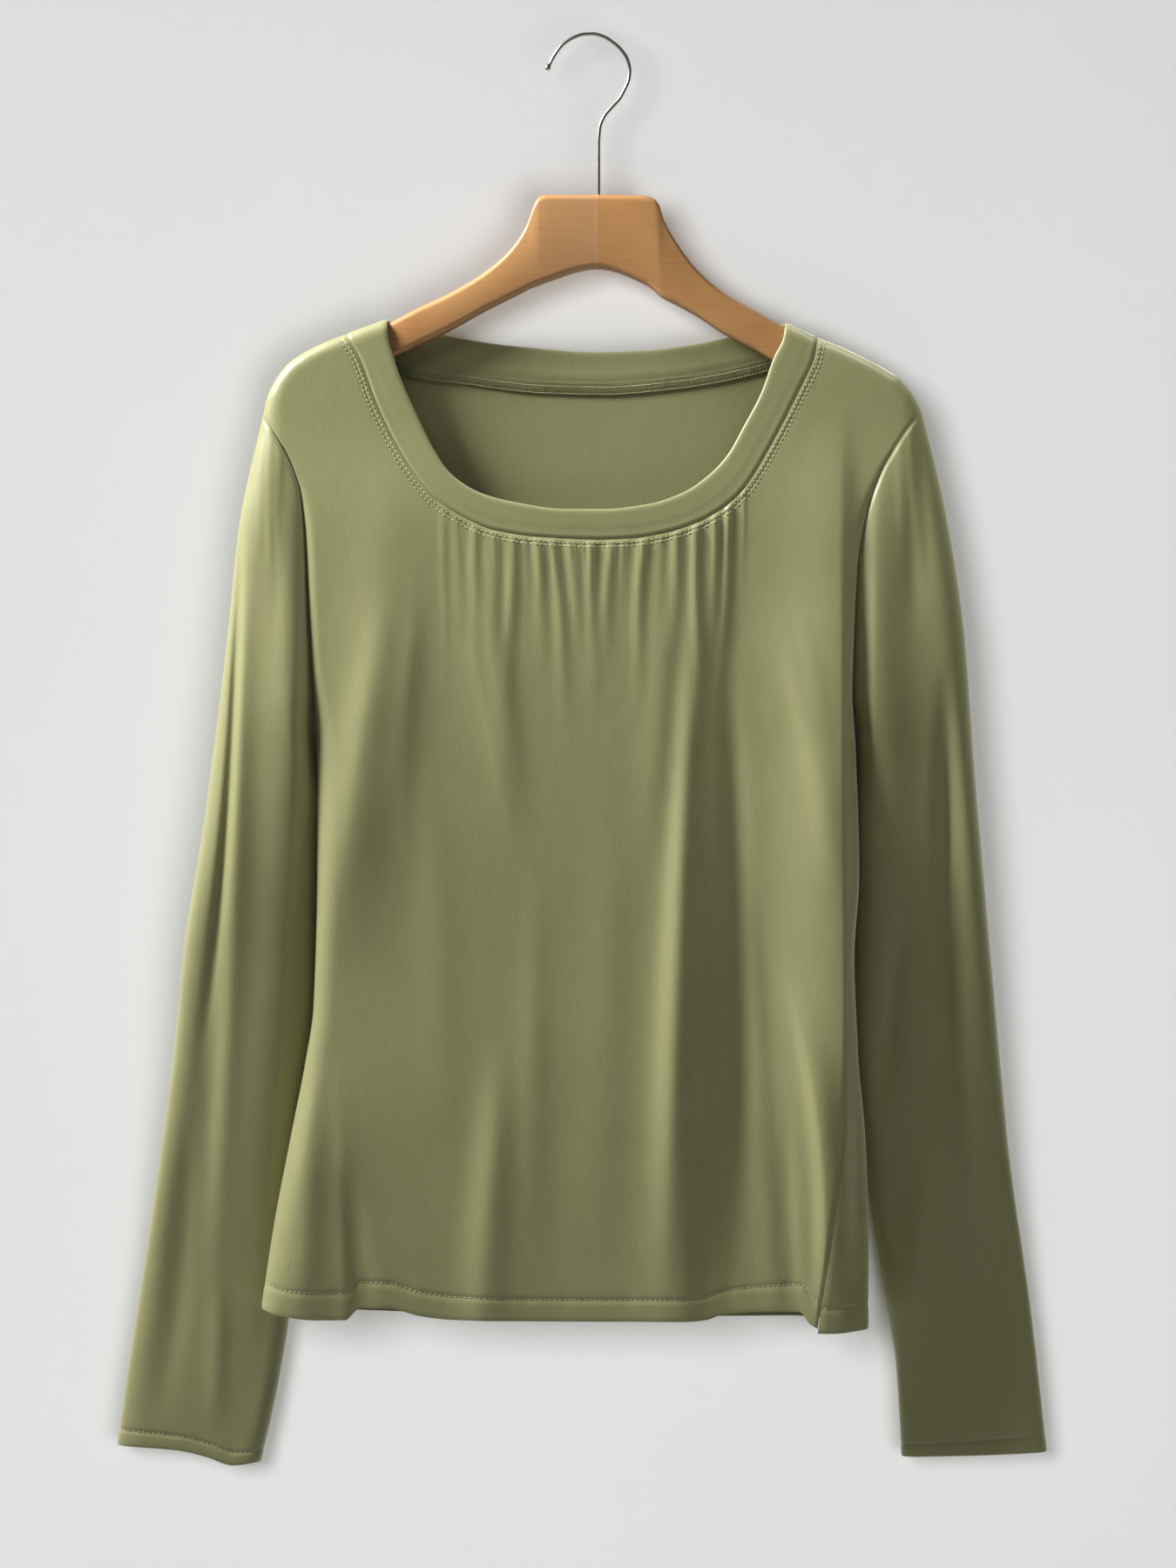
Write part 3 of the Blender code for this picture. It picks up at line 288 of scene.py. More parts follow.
def along(rows, distance):
    knots, rows = chords(rows), np.asarray(rows, float)
    return np.stack([monotone(knots, column, distance) for column in rows.T], -1)


def atHeight(rows, z):
    x, knots = np.asarray(rows, float)[::-1].T
    return monotone(knots, x, z)


def byHeight(table, column, z):
    rows = table[::-1]
    return monotone([row.z for row in rows], [getattr(row, column) for row in rows], z)


def smoothstep(t):
    t = np.clip(t, 0, 1)
    return t * t * (3 - 2 * t)


def rolled(distance, reach):  # share of the full depth at a distance from a rolled edge
    t = np.clip(distance / reach, 0, 1)
    return (1 - (1 - t) ** turn["power"]) ** (1 / turn["power"])


def distanceTo(rows, x, z):
    rows = np.asarray(rows, float)
    best = np.full(np.shape(x), np.inf)
    for start, end in zip(rows[:-1], rows[1:]):
        span = end - start
        t = np.clip(((x - start[0]) * span[0] + (z - start[1]) * span[1]) / (span @ span), 0, 1)
        best = np.minimum(best, np.hypot(x - start[0] - t * span[0], z - start[1] - t * span[1]))
    return best


def seamDip(lines, x, z):
    near = [1 - smoothstep(distanceTo(line, x, z) / cloth["seamDipReach"]) for line in lines]
    return cloth["seamDip"] * np.max(near, axis=0)


def relief(folds, x, z, sharp=False):
    total = np.zeros(np.shape(x))
    for fold in folds:
        t = (fold.zTop - z) / (fold.zTop - fold.zLow)
        centre = (fold.xTop * (1 - t) * (1 - 2 * t) + fold.xMid * 4 * t * (1 - t)
                  + fold.xLow * t * (2 * t - 1))
        off = x - centre - cloth["wander"] * np.sin(5.1 * t + fold.xTop)
        reach = np.where(off < 0, fold.left, fold.right) * (0.75 + 0.5 * np.clip(t, 0, 1))
        fade = smoothstep(t / 0.4) * smoothstep((1 - t) / 0.4)
        square = (off / reach) ** 2
        # The small square under the root only rounds the very edge of a crease.
        profile = np.exp(0.3 - np.sqrt(square + 0.3 ** 2)) if sharp else np.exp(-square)
        total += fold.height * fade * profile
    return total


def lineX(start, end, z):
    return start[0] + (end[0] - start[0]) * (z - start[1]) / (end[1] - start[1])


def border(armhole, side):
    return armhole + side[1:]


def dense(rows):  # more points, on the curve that atHeight follows
    parts = [np.linspace(top[1], low[1], 4)[:-1] for top, low in zip(rows[:-1], rows[1:])]
    z = np.append(np.concatenate(parts), rows[-1][1])
    return [tuple(row) for row in np.stack([atHeight(rows, z), z], -1)]


topRight = dense(sleeveOutRight)[::-1] + shoulderRight[1:] + bandTopRight
topLeft = bandTopLeft + shoulderLeft + dense(sleeveOutLeft)[1:]


def rollShare(x, z):  # depth share from the shoulder line and the sleeves' outer edges
    distance = np.minimum(distanceTo(topRight, x, z), distanceTo(topLeft, x, z))
    low = smoothstep((turn["shoulderLowZ"] - z) / turn["shoulderLow"])
    return rolled(distance, turn["shoulder"] + (turn["sleeve"] - turn["shoulder"]) * low)


def edgeShare(inset, z, soft):
    crease = np.where(z < underarmZ, 1.0, byHeight(armholeCrease, "share", z))
    return 1 - crease * (1 - rolled(inset, soft))


def bodyShare(x, z, softRight, softLeft):
    share = rollShare(x, z)
    low = smoothstep((turn["lowZ"] - z) / turn["bodyLow"])
    for side, outline, soft, softLow in (
            (1, border(armholeRight, sideRight), softRight, turn["side"]),
            (-1, border(armholeLeft, sideLeft), softLeft, turn["leftSide"])):
        inset = np.where(z > tipZ, np.inf, np.maximum(side * (x - atHeight(outline, z)), 0))
        share = share * edgeShare(inset, z, soft + (softLow - soft) * low)
    return share


def stitchGroove(neck, x, z):  # the two rows of cover stitch press a shallow channel
    away = distanceTo(neck, x, z)
    return cloth["stitchGroove"] * np.exp(-((away - cloth["stitchAway"]) / cloth["stitchReach"]) ** 2)


# What differs between the front and the back panel.
Face = namedtuple("Face", "side depth softRight softLeft folds edges seams neck")
front = Face(-1, "front", turn["frontRight"], turn["frontLeft"], frontFolds, frontEdges,
             [armholeRight, armholeLeft, neckFront, sideSeamLeft[4:]], neckFront)
back = Face(1, "back", turn["back"], turn["back"], backFolds, backEdges,
            [armholeRight, armholeLeft, neckBack], neckBack)


def panelY(face, x, z):
    share = bodyShare(x, z, face.softRight, face.softLeft)
    depth = byHeight(bodyDepth, face.depth, z) + relief(face.folds, x, z)
    depth = depth + relief(face.edges, x, z, True)
    sunk = seamDip(face.seams, x, z) + stitchGroove(face.neck, x, z)
    return byHeight(bodyDepth, "edge", z) + face.side * (share * depth - sunk)


frontY, backY = partial(panelY, front), partial(panelY, back)


def inward(points):  # directions across a line, towards the middle of the neck
    tangent = np.gradient(points, axis=0)
    normal = np.stack([-tangent[:, 1], tangent[:, 0]], -1)
    normal /= np.linalg.norm(normal, axis=1, keepdims=True)
    side = np.sum(normal * np.subtract(neckCentre, points), axis=1)
    return normal * np.where(side < 0, -1, 1)[:, None]


def drawIn(x, z, outline, side):  # leans the outer columns so that the last follows the edge
    straight = lineX(outline[0], outline[-1], z)
    shift = np.where(z < outline[0][1], atHeight(outline, z) - straight, 0)
    inset = np.clip(side * (x - straight) / drawInReach, 0, 1)
    return x + shift * (1 - inset)


def vertexNormals(grid, closed):
    down = np.gradient(grid, axis=0)
    if closed:
        across = np.roll(grid, -1, axis=1) - np.roll(grid, 1, axis=1)
    else:
        across = np.gradient(grid, axis=1)
    normal = np.cross(down, across)
    return normal / np.maximum(np.linalg.norm(normal, axis=2, keepdims=True), 1e-9)


def fieldNormals(x, z, depth, side):
    slopeX = (depth(x + fieldStep, z) - depth(x - fieldStep, z)) / (2 * fieldStep)
    slopeZ = (depth(x, z + fieldStep) - depth(x, z - fieldStep)) / (2 * fieldStep)
    normal = np.stack([-side * slopeX, np.full(np.shape(x), side), -side * slopeZ], -1)
    return normal / np.linalg.norm(normal, axis=-1, keepdims=True)


def tipNormal(shoulderPoint, sleevePoint):
    x, z = np.subtract(sleevePoint, shoulderPoint)
    normal = np.array([z, 0, -x]) * np.sign(z * sleevePoint[0])
    return normal / np.linalg.norm(normal)


def spread(rows):  # places along a line, closer together at both ends
    ends, length = [0, 0.8, 1.8, 3.2, 5], chords(rows)[-1]
    steps = max(int((length - 2 * ends[-1]) / cloth["columnStep"]), 2)
    middle = np.linspace(ends[-1], length - ends[-1], steps)
    return np.concatenate([ends[:-1], middle, (length - np.array(ends[:-1]))[::-1]])


def rowShares(drop, hemDepth):  # finer at the seam, at the hem's stitching and at its fold
    hem = 1 - hemDepth / drop
    seam = np.array([0, 0.5, 1.1, 1.8, 2.5, 3.1, 3.7, 4.3, 5.0, 5.8, 7.0, 8.8]) / drop
    body = np.linspace(seam[-1], hem - 3 / drop, int(drop / cloth["rowStep"]))[1:]
    body = np.sort(np.append(body[np.abs(body - underarmShare) > 0.001], underarmShare))
    edge = hem + np.array([-1.4, -0.5, 0, 0.5, 1.4, 4, 7, 10, 11.6, 12.5]) * hemDepth / 13 / drop
    return np.concatenate([seam, body, edge, [1.0]]), len(seam) + len(body) + 2


def waviness(distance):  # the small uneven waves that sewing leaves
    return (np.sin(distance / 1.9) + np.sin(distance / 3.1 + 1.3) + np.sin(distance / 5.3 + 0.4)) / 3


def linkObject(name, data):
    piece = bpy.data.objects.new(name, data)
    bpy.context.scene.collection.objects.link(piece)
    return piece


def addPiece(name, points, faces, material, sharpAngle, places=None):
    mesh = bpy.data.meshes.new(name)
    mesh.from_pydata((points * mm).tolist(), [], faces)
    if places is not None:
        layer = mesh.uv_layers.new(name="knit")
        layer.uv.foreach_set("vector", places.astype(np.float32).ravel())
    work = bmesh.new()
    work.from_mesh(mesh)
    bmesh.ops.recalc_face_normals(work, faces=work.faces)
    work.to_mesh(mesh)
    work.free()
    mesh.shade_smooth()
    mesh.set_sharp_from_angle(angle=sharpAngle)
    mesh.materials.append(material)
    return linkObject(name, mesh)


def addShell(name, outer, normals, wall, closed):
    # The outer grid, the same grid moved in by the wall, and the rims between.
    # Its map runs across and down the cloth in metres, for the knit.
    rows, columns = outer.shape[:2]
    spans = columns if closed else columns - 1
    points = np.concatenate([outer, outer - normals * np.reshape(wall, (-1, 1, 1))]).reshape(-1, 3)
    ring = np.concatenate([outer, outer[:, :1]], axis=1) if closed else outer
    across, down = chords(ring[rows // 2]) * mm, chords(outer[:, columns // 2]) * mm
    faces, places = [], []

    def addFaces(*corners):  # each one a row, a column and a skin: 0 outside, 1 inside
        ids, spots = [], []
        for i, j, skin in corners:
            i, j = np.broadcast_arrays(i, j)
            ids.append((skin * rows + i) * columns + j % columns)
            spots.append(np.stack([across[j], down[i]], -1))
        faces.append(np.stack(ids, -1))
        places.append(np.stack(spots, 1))

    i, j = (part.ravel() for part in
            np.meshgrid(np.arange(rows - 1), np.arange(spans), indexing="ij"))
    addFaces((i, j, 0), (i, j + 1, 0), (i + 1, j + 1, 0), (i + 1, j, 0))
    addFaces((i + 1, j, 1), (i + 1, j + 1, 1), (i, j + 1, 1), (i, j, 1))
    i, j = np.arange(rows - 1), np.arange(spans)
    for row in (0, rows - 1):
        addFaces((row, j, 0), (row, j, 1), (row, j + 1, 1), (row, j + 1, 0))
    for column in () if closed else (0, columns - 1):
        addFaces((i, column, 0), (i, column, 1), (i + 1, column, 1), (i + 1, column, 0))
    return addPiece(name, points, np.concatenate(faces).tolist(), clothJersey, 1.2,
                    np.concatenate(places))


# Colours are written as they look on a screen.
def hexColour(text):
    values = [int(text[i:i + 2], 16) / 255 for i in (1, 3, 5)]
    return [v / 12.92 if v <= 0.04045 else ((v + 0.055) / 1.055) ** 2.4 for v in values] + [1.0]


def addNode(tree, kind, inputs=None, settings=None):
    node = tree.nodes.new(kind)
    for key, value in (settings or {}).items():
        setattr(node, key, value)
    for key, value in (inputs or {}).items():
        if isinstance(value, bpy.types.NodeSocket):
            tree.links.new(value, node.inputs[key])
        else:
            node.inputs[key].default_value = value
    return node


def calculate(tree, operation, *values):
    inputs = dict(enumerate(values))
    return addNode(tree, "ShaderNodeMath", inputs, {"operation": operation}).outputs[0]


def noise(tree, place, size, detail, **more):
    inputs = {"Vector": place, "Scale": 1 / (size * mm), "Detail": detail, **more}
    return addNode(tree, "ShaderNodeTexNoise", inputs).outputs["Fac"]


def stretched(tree, place, *lengths):  # noise then runs these lengths along each axis, in mm
    scale = [1 / (length * mm) for length in lengths]
    return addNode(tree, "ShaderNodeMapping", {
        "Vector": place, "Scale": scale}).outputs["Vector"]


def tones(tree, share, colours, reach):  # dark to light, over a reach to each side of a half
    ramp = addNode(tree, "ShaderNodeValToRGB", {"Fac": share})
    stops = ramp.color_ramp.elements
    for stop, key, position in zip(stops, ("dark", "light"), (0.5 - reach, 0.5 + reach)):
        stop.position, stop.color = position, hexColour(colours[key])
    if "mid" in colours:
        stops.new(0.5).color = hexColour(colours["mid"])
    return ramp.outputs["Color"]


def mixShares(tree, share, first, second):
    return addNode(tree, "ShaderNodeMix", {0: share, 2: first, 3: second},
                   {"data_type": "FLOAT"}).outputs[0]


def mixColours(tree, share, first, second, blend="MIX"):
    return addNode(tree, "ShaderNodeMix", {0: share, 6: first, 7: second},
                   {"data_type": "RGBA", "blend_type": blend}).outputs[2]


def ranged(tree, value, fromMin, fromMax, toMin, toMax):
    return addNode(tree, "ShaderNodeMapRange", {
        "Value": value, "From Min": fromMin, "From Max": fromMax, "To Min": toMin,
        "To Max": toMax}).outputs["Result"]


def addBump(tree, shader, strength, distanceMm, height):
    bump = addNode(tree, "ShaderNodeBump", {
        "Strength": strength, "Distance": distanceMm * mm, "Height": height})
    tree.links.new(bump.outputs["Normal"], shader.inputs["Normal"])


def newMaterial(name, values, uvMap=None):
    material = bpy.data.materials.new(name)
    material.use_nodes = True
    tree = material.node_tree
    shader = tree.nodes["Principled BSDF"]
    for key, value in values.items():
        shader.inputs[key].default_value = value
    if uvMap:
        place = addNode(tree, "ShaderNodeUVMap", None, {"uv_map": uvMap}).outputs["UV"]
        return material, tree, shader, place
    return material, tree, shader, addNode(tree, "ShaderNodeTexCoord").outputs["Object"]


# Viscose and cotton single jersey, piece dyed olive: a smooth silky face whose
# highlights pale along the folds, with wales so fine that they only show as a
# faint upright grain. The wales are drawn a little coarser than real ones.
jersey = {"light": "#9b9a6b", "mid": "#979667", "dark": "#929262", "waleMm": 0.9,
          "courseMm": 1.2, "streakMm": 1.2, "streakLongMm": 16.0, "fuzzMm": 0.6,
          "mottleMm": 60.0, "bump": 0.22}


def makeJersey(name, tone):
    material, tree, shader, place = newMaterial(name, {
        "Roughness": 0.46, "Specular IOR Level": 0.7, "Sheen Weight": 0.65,
        "Sheen Roughness": 0.35, "Sheen Tint": hexColour("#e8e7df")}, "knit")
    streakPlace = stretched(tree, place, jersey["streakMm"], jersey["streakLongMm"], metre)
    streak = noise(tree, streakPlace, metre, 3.0, Roughness=0.6)
    mottle = noise(tree, place, jersey["mottleMm"], 2.0)
    fuzz = noise(tree, place, jersey["fuzzMm"], 1.0)
    colour = tones(tree, mixShares(tree, 0.4, streak, mottle), tone, 0.14)
    tree.links.new(colour, shader.inputs["Base Color"])
    split = addNode(tree, "ShaderNodeSeparateXYZ", {"Vector": place})
    waves = [calculate(tree, "SINE", calculate(
        tree, "MULTIPLY", split.outputs[axis], 2 * math.pi / (jersey[size] * mm)))
        for axis, size in (("X", "waleMm"), ("Y", "courseMm"))]
    height = waves[0]
    for layer, gain in ((waves[1], 0.12), (fuzz, 1.2), (streak, 0.8)):
        height = calculate(tree, "MULTIPLY_ADD", layer, gain, height)
    addBump(tree, shader, jersey["bump"], 0.03, height)
    return material


def makeThread(name, colours):
    # Textured polyester sewing thread: slightly shinier than the knit, and a
    # touch lighter because each stitch stands up into the light.
    material, tree, shader, place = newMaterial(name, {
        "Roughness": 0.55, "Specular IOR Level": 0.4, "Sheen Weight": 0.15})
    ply = noise(tree, place, 0.9, 1.0)
    tree.links.new(tones(tree, ply, colours, 0.15), shader.inputs["Base Color"])
    return material


stitchTone = {"dark": "#97986a", "light": "#bcbd92"}
clothJersey = makeJersey("viscose cotton jersey", jersey)
threadOlive = makeThread("polyester sewing thread", stitchTone)


def finishCloth(name, outer, normals, shares, stitchRow, drop, hemDepth, closed):
    # The turned-up edge: a groove at the stitching, a slight step below it,
    # puckers on both sides and a soft fold at the bottom.
    below = (shares - 1) * drop + hemDepth
    groove = -cloth["hemGroove"] * np.exp(-(below / cloth["hemGrooveReach"]) ** 2)
    step = cloth["hemLift"] * smoothstep((below - 0.6) / 2)
    fold = -cloth["hemEdgeRoll"] * smoothstep((below - hemDepth + 1.6) / 1.6)
    waves = waviness(chords(outer[-1][:, [0, 2]]))
    pucker = cloth["pucker"] * np.exp(-(below / cloth["puckerReach"]) ** 2)[:, None] * waves
    outer = outer + normals * ((groove + step + fold)[:, None] + pucker)[..., None]
    wall = cloth["wall"] + (cloth["hemWall"] - cloth["wall"]) * smoothstep((below + 0.5) / 1.5)
    piece = addShell(name, outer, normals, wall, closed)
    return piece, outer[stitchRow] + normals[stitchRow] * cloth["threadLift"]


# Front and back panels.
def panelTop(neck):
    edgeRight, edgeLeft = (spread(shoulder)[:-1] for shoulder in (shoulderRight, shoulderLeft))
    distances = spread(neck)
    first = along(shoulderRight, edgeRight)
    last = along(shoulderLeft, chords(shoulderLeft)[-1] - edgeLeft)[::-1]
    middle = along(neck, distances)
    middle = middle - inward(middle) * halfGap
    lengths = (chords(shoulderRight)[-1], chords(neck)[-1], chords(shoulderLeft)[-1])
    total = sum(lengths)
    u = np.concatenate([edgeRight, lengths[0] + distances, (total - edgeLeft)[::-1]]) / total
    isShoulder = np.ones(len(u), bool)
    isShoulder[len(edgeRight) + 1:len(edgeRight) + len(middle) - 1] = False
    ends = (0, lengths[0] / total, (lengths[0] + lengths[1]) / total, 1)
    return np.concatenate([first, middle, last]), u, isShoulder, ends


def panelGrid(neck, leftEdge, hem):
    top, u, isShoulder, ends = panelTop(neck)
    hemX = monotone(ends, (hem[0][0], *hemUnderNeck, hem[-1][0]), u)
    hemZ = monotone([row[0] for row in hem], [row[1] for row in hem], hemX)
    bottom = np.stack([hemX, hemZ], -1)
    shares, stitchRow = rowShares(bodyDrop, cloth["hemDepth"])
    v = shares[:, None, None]
    grid = (1 - v) * top[None] + v * bottom[None]
    x, z = grid[..., 0], grid[..., 1]
    x = drawIn(x, z, border(armholeRight, sideRight), 1)
    x = drawIn(x, z, border(armholeLeft, leftEdge), -1)
    arm = shares < underarmShare + 1e-6
    x[arm, 0] += halfGap
    x[arm, -1] -= halfGap
    return x, z, u, shares, stitchRow, isShoulder


def wrapWidth(z):
    return np.where(z > wrapZ, 0.0, atHeight(sideLeft, z) - atHeight(sideSeamLeft, z))


def gatherLift(u, drop):
    form, lift = gatherForm, np.zeros(drop.shape)
    knots, before = chords(neckFront), chords(shoulderRight)[-1]
    total = knots[-1] + before + chords(shoulderLeft)[-1]
    for halfWidth, rows in ((form["halfWidth"], gathers), (form["pleatHalfWidth"], littlePleats)):
        for gather in rows:
            place = np.interp(gather.x, [row[0] for row in neckFront], knots)
            lean = (form["lean"] * drop * np.sin(gather.x * 1.7)
                    + form["waver"] * np.sin(drop / form["waverMm"] + gather.x))
            across = np.abs((u - (place + before) / total) * total + lean)
            down = np.clip(drop / (gather.run * form["stretch"]), 0, 1)
            wide = halfWidth * (1 + form["widen"] * down)
            bump = 0.5 + 0.5 * np.cos(np.pi * np.clip(across / wide, 0, 1))
            run = smoothstep(drop / form["rise"]) * (1 - down) ** form["power"]
            lift += gather.height * bump * run
    return lift


def seamNormals(z):
    turned = rolled(wrapWidth(z), turn["leftSide"]) ** 1.5
    return np.stack([np.sqrt(np.maximum(1 - turned ** 2, 0)), -turned, np.zeros_like(turned)], -1)


# The back panel ends in a strip that turns round the left side on to the front.
wrap = {"drop": 3.0, "columns": 14, "behind": 0.9, "fullWidth": 30.0, "dropFrom": 0.7}


def wrapRound(outer, shares, arm):
    baseX, baseZ = outer[:, -1, 0], outer[:, -1, 2]
    width = wrapWidth(baseZ)
    extra = []
    for share in np.linspace(1, 0, wrap["columns"]):
        reach = width * (1 - share) - wrap["behind"] * share
        sideX = baseX - np.abs(reach)
        sag = wrap["drop"] * np.sin(np.pi * (1 - share) * 0.6) * smoothstep(width / wrap["fullWidth"])
        sideZ = baseZ - sag * smoothstep((shares - wrap["dropFrom"]) / 0.3)
        sideY = np.where(reach > 0, frontY(sideX, sideZ), backY(sideX, sideZ))
        extra.append(np.stack([sideX, sideY, sideZ], -1))
    turned = smoothstep(width / turn["edgePlane"])
    last = extra[-1]
    last[:, 0] += halfGap * turned
    seamY = byHeight(bodyDepth, "edge", baseZ) + halfGap
    wrapped = np.where(width > 0, last[:, 1] + halfGap * (1 - turned), seamY)
    last[:, 1] = np.where(arm, backY(baseX, baseZ), wrapped)
    return np.concatenate([outer[:, :-2], np.stack(extra, 1)], axis=1)


def makePanel(name, face, leftEdge, hem):
    x, z, u, shares, stitchRow, isShoulder = panelGrid(face.neck, leftEdge, hem)
    y = panelY(face, x, z)
    if face is front:
        y = y - gatherLift(u, z[0][None, :] - z)
    edge = byHeight(bodyDepth, "edge", z) + face.side * halfGap
    arm = shares < underarmShare - 1e-6
    below = ~arm
    y[0] = np.where(isShoulder, edge[0], y[0])
    y[below, 0] = edge[below, 0]
    outer = np.stack([x, y, z], -1)
    if face is front:
        corner, extra = 1, 1
        turned = smoothstep(wrapWidth(z[below, -1]) / turn["edgePlane"])
        outer[below, -1, 0] -= halfGap * turned
        outer[below, -1, 1] -= halfGap * (1 - turned)
    else:
        corner, extra = 0, wrap["columns"] - 2
        outer = wrapRound(outer, shares, arm)
    normals = -face.side * vertexNormals(outer, False)
    arm[0] = False
    neck = np.flatnonzero(~isShoulder)
    for spots in ((0, neck), (arm, 0), (arm, -1)):
        point = outer[spots]
        normals[spots] = fieldNormals(point[:, 0], point[:, 2], partial(panelY, face), face.side)
    # Along the shoulders and the right side the rims of both panels meet edge to edge.
    flat = np.zeros(outer.shape[:2], bool)
    flat[0, :np.argmin(isShoulder) - 1 + corner] = flat[below, 0] = True
    flat[0, -np.argmin(isShoulder[::-1]) + 1 - extra:] = True
    normals[flat, 1] = 0
    normals[flat] /= np.linalg.norm(normals[flat], axis=1, keepdims=True)
    normals[0, 0] = tipNormal(shoulderRight[1], sleeveOutRight[1])
    normals[0, -1] = tipNormal(shoulderLeft[-2], sleeveOutLeft[1])
    normals[below, -1] = seamNormals(z[below, -1])
    return finishCloth(name, outer, normals, shares, stitchRow, bodyDrop, cloth["hemDepth"], False)


# Sleeves. Under the arms they reach a little way behind the sides of the body.
tuck = {"reach": 3.0, "rise": 16.0, "fall": 90.0, "lowZ": -620.0}
Sleeve = namedtuple("Sleeve", "name armhole outer inner cuff hemZ soft frontFolds frontEdges backFolds")


def mirrored(folds):
    return [fold._replace(xTop=-fold.xTop, xMid=-fold.xMid, xLow=-fold.xLow,
                          left=fold.right, right=fold.left) for fold in folds]


sleeves = [
    Sleeve("sleeveRight", armholeRight, sleeveOutRight, sleeveInRight, cuffRight, sideRight[-1][1],
           20, rightSleeveFolds, rightSleeveEdges, mirrored(sleeveBackFolds)),
    Sleeve("sleeveLeft", armholeLeft, sleeveOutLeft, sleeveInLeft, cuffLeft, sideLeft[-1][1],
           10, leftSleeveFolds, leftSleeveEdges, sleeveBackFolds),
]


def sleevePatch(ringZ, sleeve, u, v):
    tip, arm = sleeve.outer[0], (lineX(sleeve.armhole[0], sleeve.armhole[-1], ringZ[-1]), ringZ[-1])
    top = np.stack([lineX(tip, arm, ringZ), ringZ], -1)
    bottom = along(sleeve.cuff, u * chords(sleeve.cuff)[-1])
    v = np.asarray(v)[:, None, None]
    grid = (1 - v) * top[None] + v * bottom[None]
    x, z = grid[..., 0], grid[..., 1]
    low = np.where(z > arm[1], lineX(tip, arm, z), lineX(arm, bottom[-1], z))
    high = lineX(tip, bottom[0], z)
    wide = atHeight(sleeve.outer, z)
    narrow = atHeight(border(sleeve.armhole, sleeve.inner), z)
    under = smoothstep((underarmZ - z) / tuck["rise"]) * smoothstep((z - tuck["lowZ"]) / tuck["fall"])
    narrow = narrow - np.sign(narrow) * tuck["reach"] * under
    width = np.where(np.abs(high - low) < 0.01, 1, high - low)
    return narrow + (x - low) / width * (wide - narrow), z


def sleeveY(sleeve, side, x, z):
    outerX = atHeight(sleeve.outer, z)
    innerX = atHeight(border(sleeve.armhole, sleeve.inner), z)
    width = np.abs(innerX - outerX)
    inset = np.clip(np.abs(x - outerX), 0, width)
    across = inset / np.maximum(width, 1)
    outerEdge = byHeight(sleeveDepth, "outerEdge", z)
    innerEdge = byHeight(sleeveDepth, "innerEdge", z)
    edge = outerEdge + (innerEdge - outerEdge) * across
    inFront = side < 0
    soft = sleeve.soft if inFront else turn["sleeveBack"]
    low = smoothstep((turn["lowZ"] - z) / turn["sleeveLow"])
    reach = soft + (turn["sleeveBack"] - soft) * low
    share = rollShare(x, z) * edgeShare(width - inset, z, reach)
    depth = byHeight(sleeveDepth, "front" if inFront else "back", z)
    folds = sleeve.frontFolds if inFront else sleeve.backFolds
    edges = sleeve.frontEdges if inFront else []
    lift = depth + relief(folds, x, z) + relief(edges, x, z, True)
    return edge + side * (share * lift - seamDip([sleeve.armhole], x, z) * share)


def makeSleeve(sleeve):
    steps = 0.5 - 0.5 * np.cos(np.pi * np.linspace(0, 1, 56))
    tip = sleeve.armhole[0][1]
    ringZ = tip + (sleeve.hemZ - tip) * underarmShare * steps
    shares, stitchRow = rowShares(sleeveDrop, cloth["cuffDepth"])
    x, z = sleevePatch(ringZ, sleeve, steps, shares)
    side = np.sign(x[0, 0])
    x[0] += side * halfGap
    ahead, behind, edge = (sleeveY(sleeve, way, x, z) for way in (-1, 1, 0))
    ahead[:, [0, -1]] = edge[:, [0, -1]]
    outer = np.concatenate([np.stack([x, ahead, z], -1),
                            np.stack([x, behind, z], -1)[:, 1:-1][:, ::-1]], axis=1)
    normals = vertexNormals(outer, True) * -side
    count = len(steps)
    seamX, seamZ = x[0, 1:-1], z[0, 1:-1]
    normals[0, 1:count - 1] = fieldNormals(seamX, seamZ, partial(sleeveY, sleeve, -1), -1)
    normals[0, count:] = fieldNormals(seamX, seamZ, partial(sleeveY, sleeve, 1), 1)[::-1]
    shoulder = shoulderLeft[-2] if side > 0 else shoulderRight[1]
    normals[0, 0] = tipNormal(shoulder, sleeve.outer[1])
    piece, path = finishCloth(sleeve.name, outer, normals, shares, stitchRow, sleeveDrop,
                              cloth["cuffDepth"], True)
    return piece, np.concatenate([path, path[:1]])


# The neckband is one strip folded double, so it is thick and its edge is round.
bandRows = rowsOf("share lift wall",
    (0, -0.55, 1), (0.03, -0.1, 1.4), (0.07, 0.2, 1.8), (0.13, 0.32, 2), (0.22, 0.36, 2.1),
    (0.35, 0.36, 2.1), (0.5, 0.36, 2.1), (0.65, 0.38, 2.1), (0.78, 0.42, 2.15), (0.87, 0.44, 2.2),
    (0.93, 0.34, 2), (0.97, 0.05, 1.5), (0.99, -0.25, 1), (1, -0.55, 0.5)
)


def makeNeckband():
    halves = []
    for face, opening in ((front, bandFront), (back, bandBack)):
        distances = spread(face.neck)
        low = along(face.neck, distances)
        low = low + inward(low) * halfGap
        high = along(opening, distances / chords(face.neck)[-1] * chords(opening)[-1])
        rows = []
        for row in bandRows:
            x, z = (low + (high - low) * row.share).T
            y = panelY(face, x, z) + face.side * seamDip([face.neck], x, z)
            y[0] = y[-1] = 0
            rows.append(np.stack([x, y, z], -1))
        halves.append(np.stack(rows))
    outer = np.concatenate([halves[0], halves[1][:, 1:-1][:, ::-1]], axis=1)
    normals = -vertexNormals(outer, True)
    lift = np.array([row.lift for row in bandRows])[:, None, None]
    return addShell("neckBand", outer + normals * lift, normals, [row.wall for row in bandRows],
                    True)


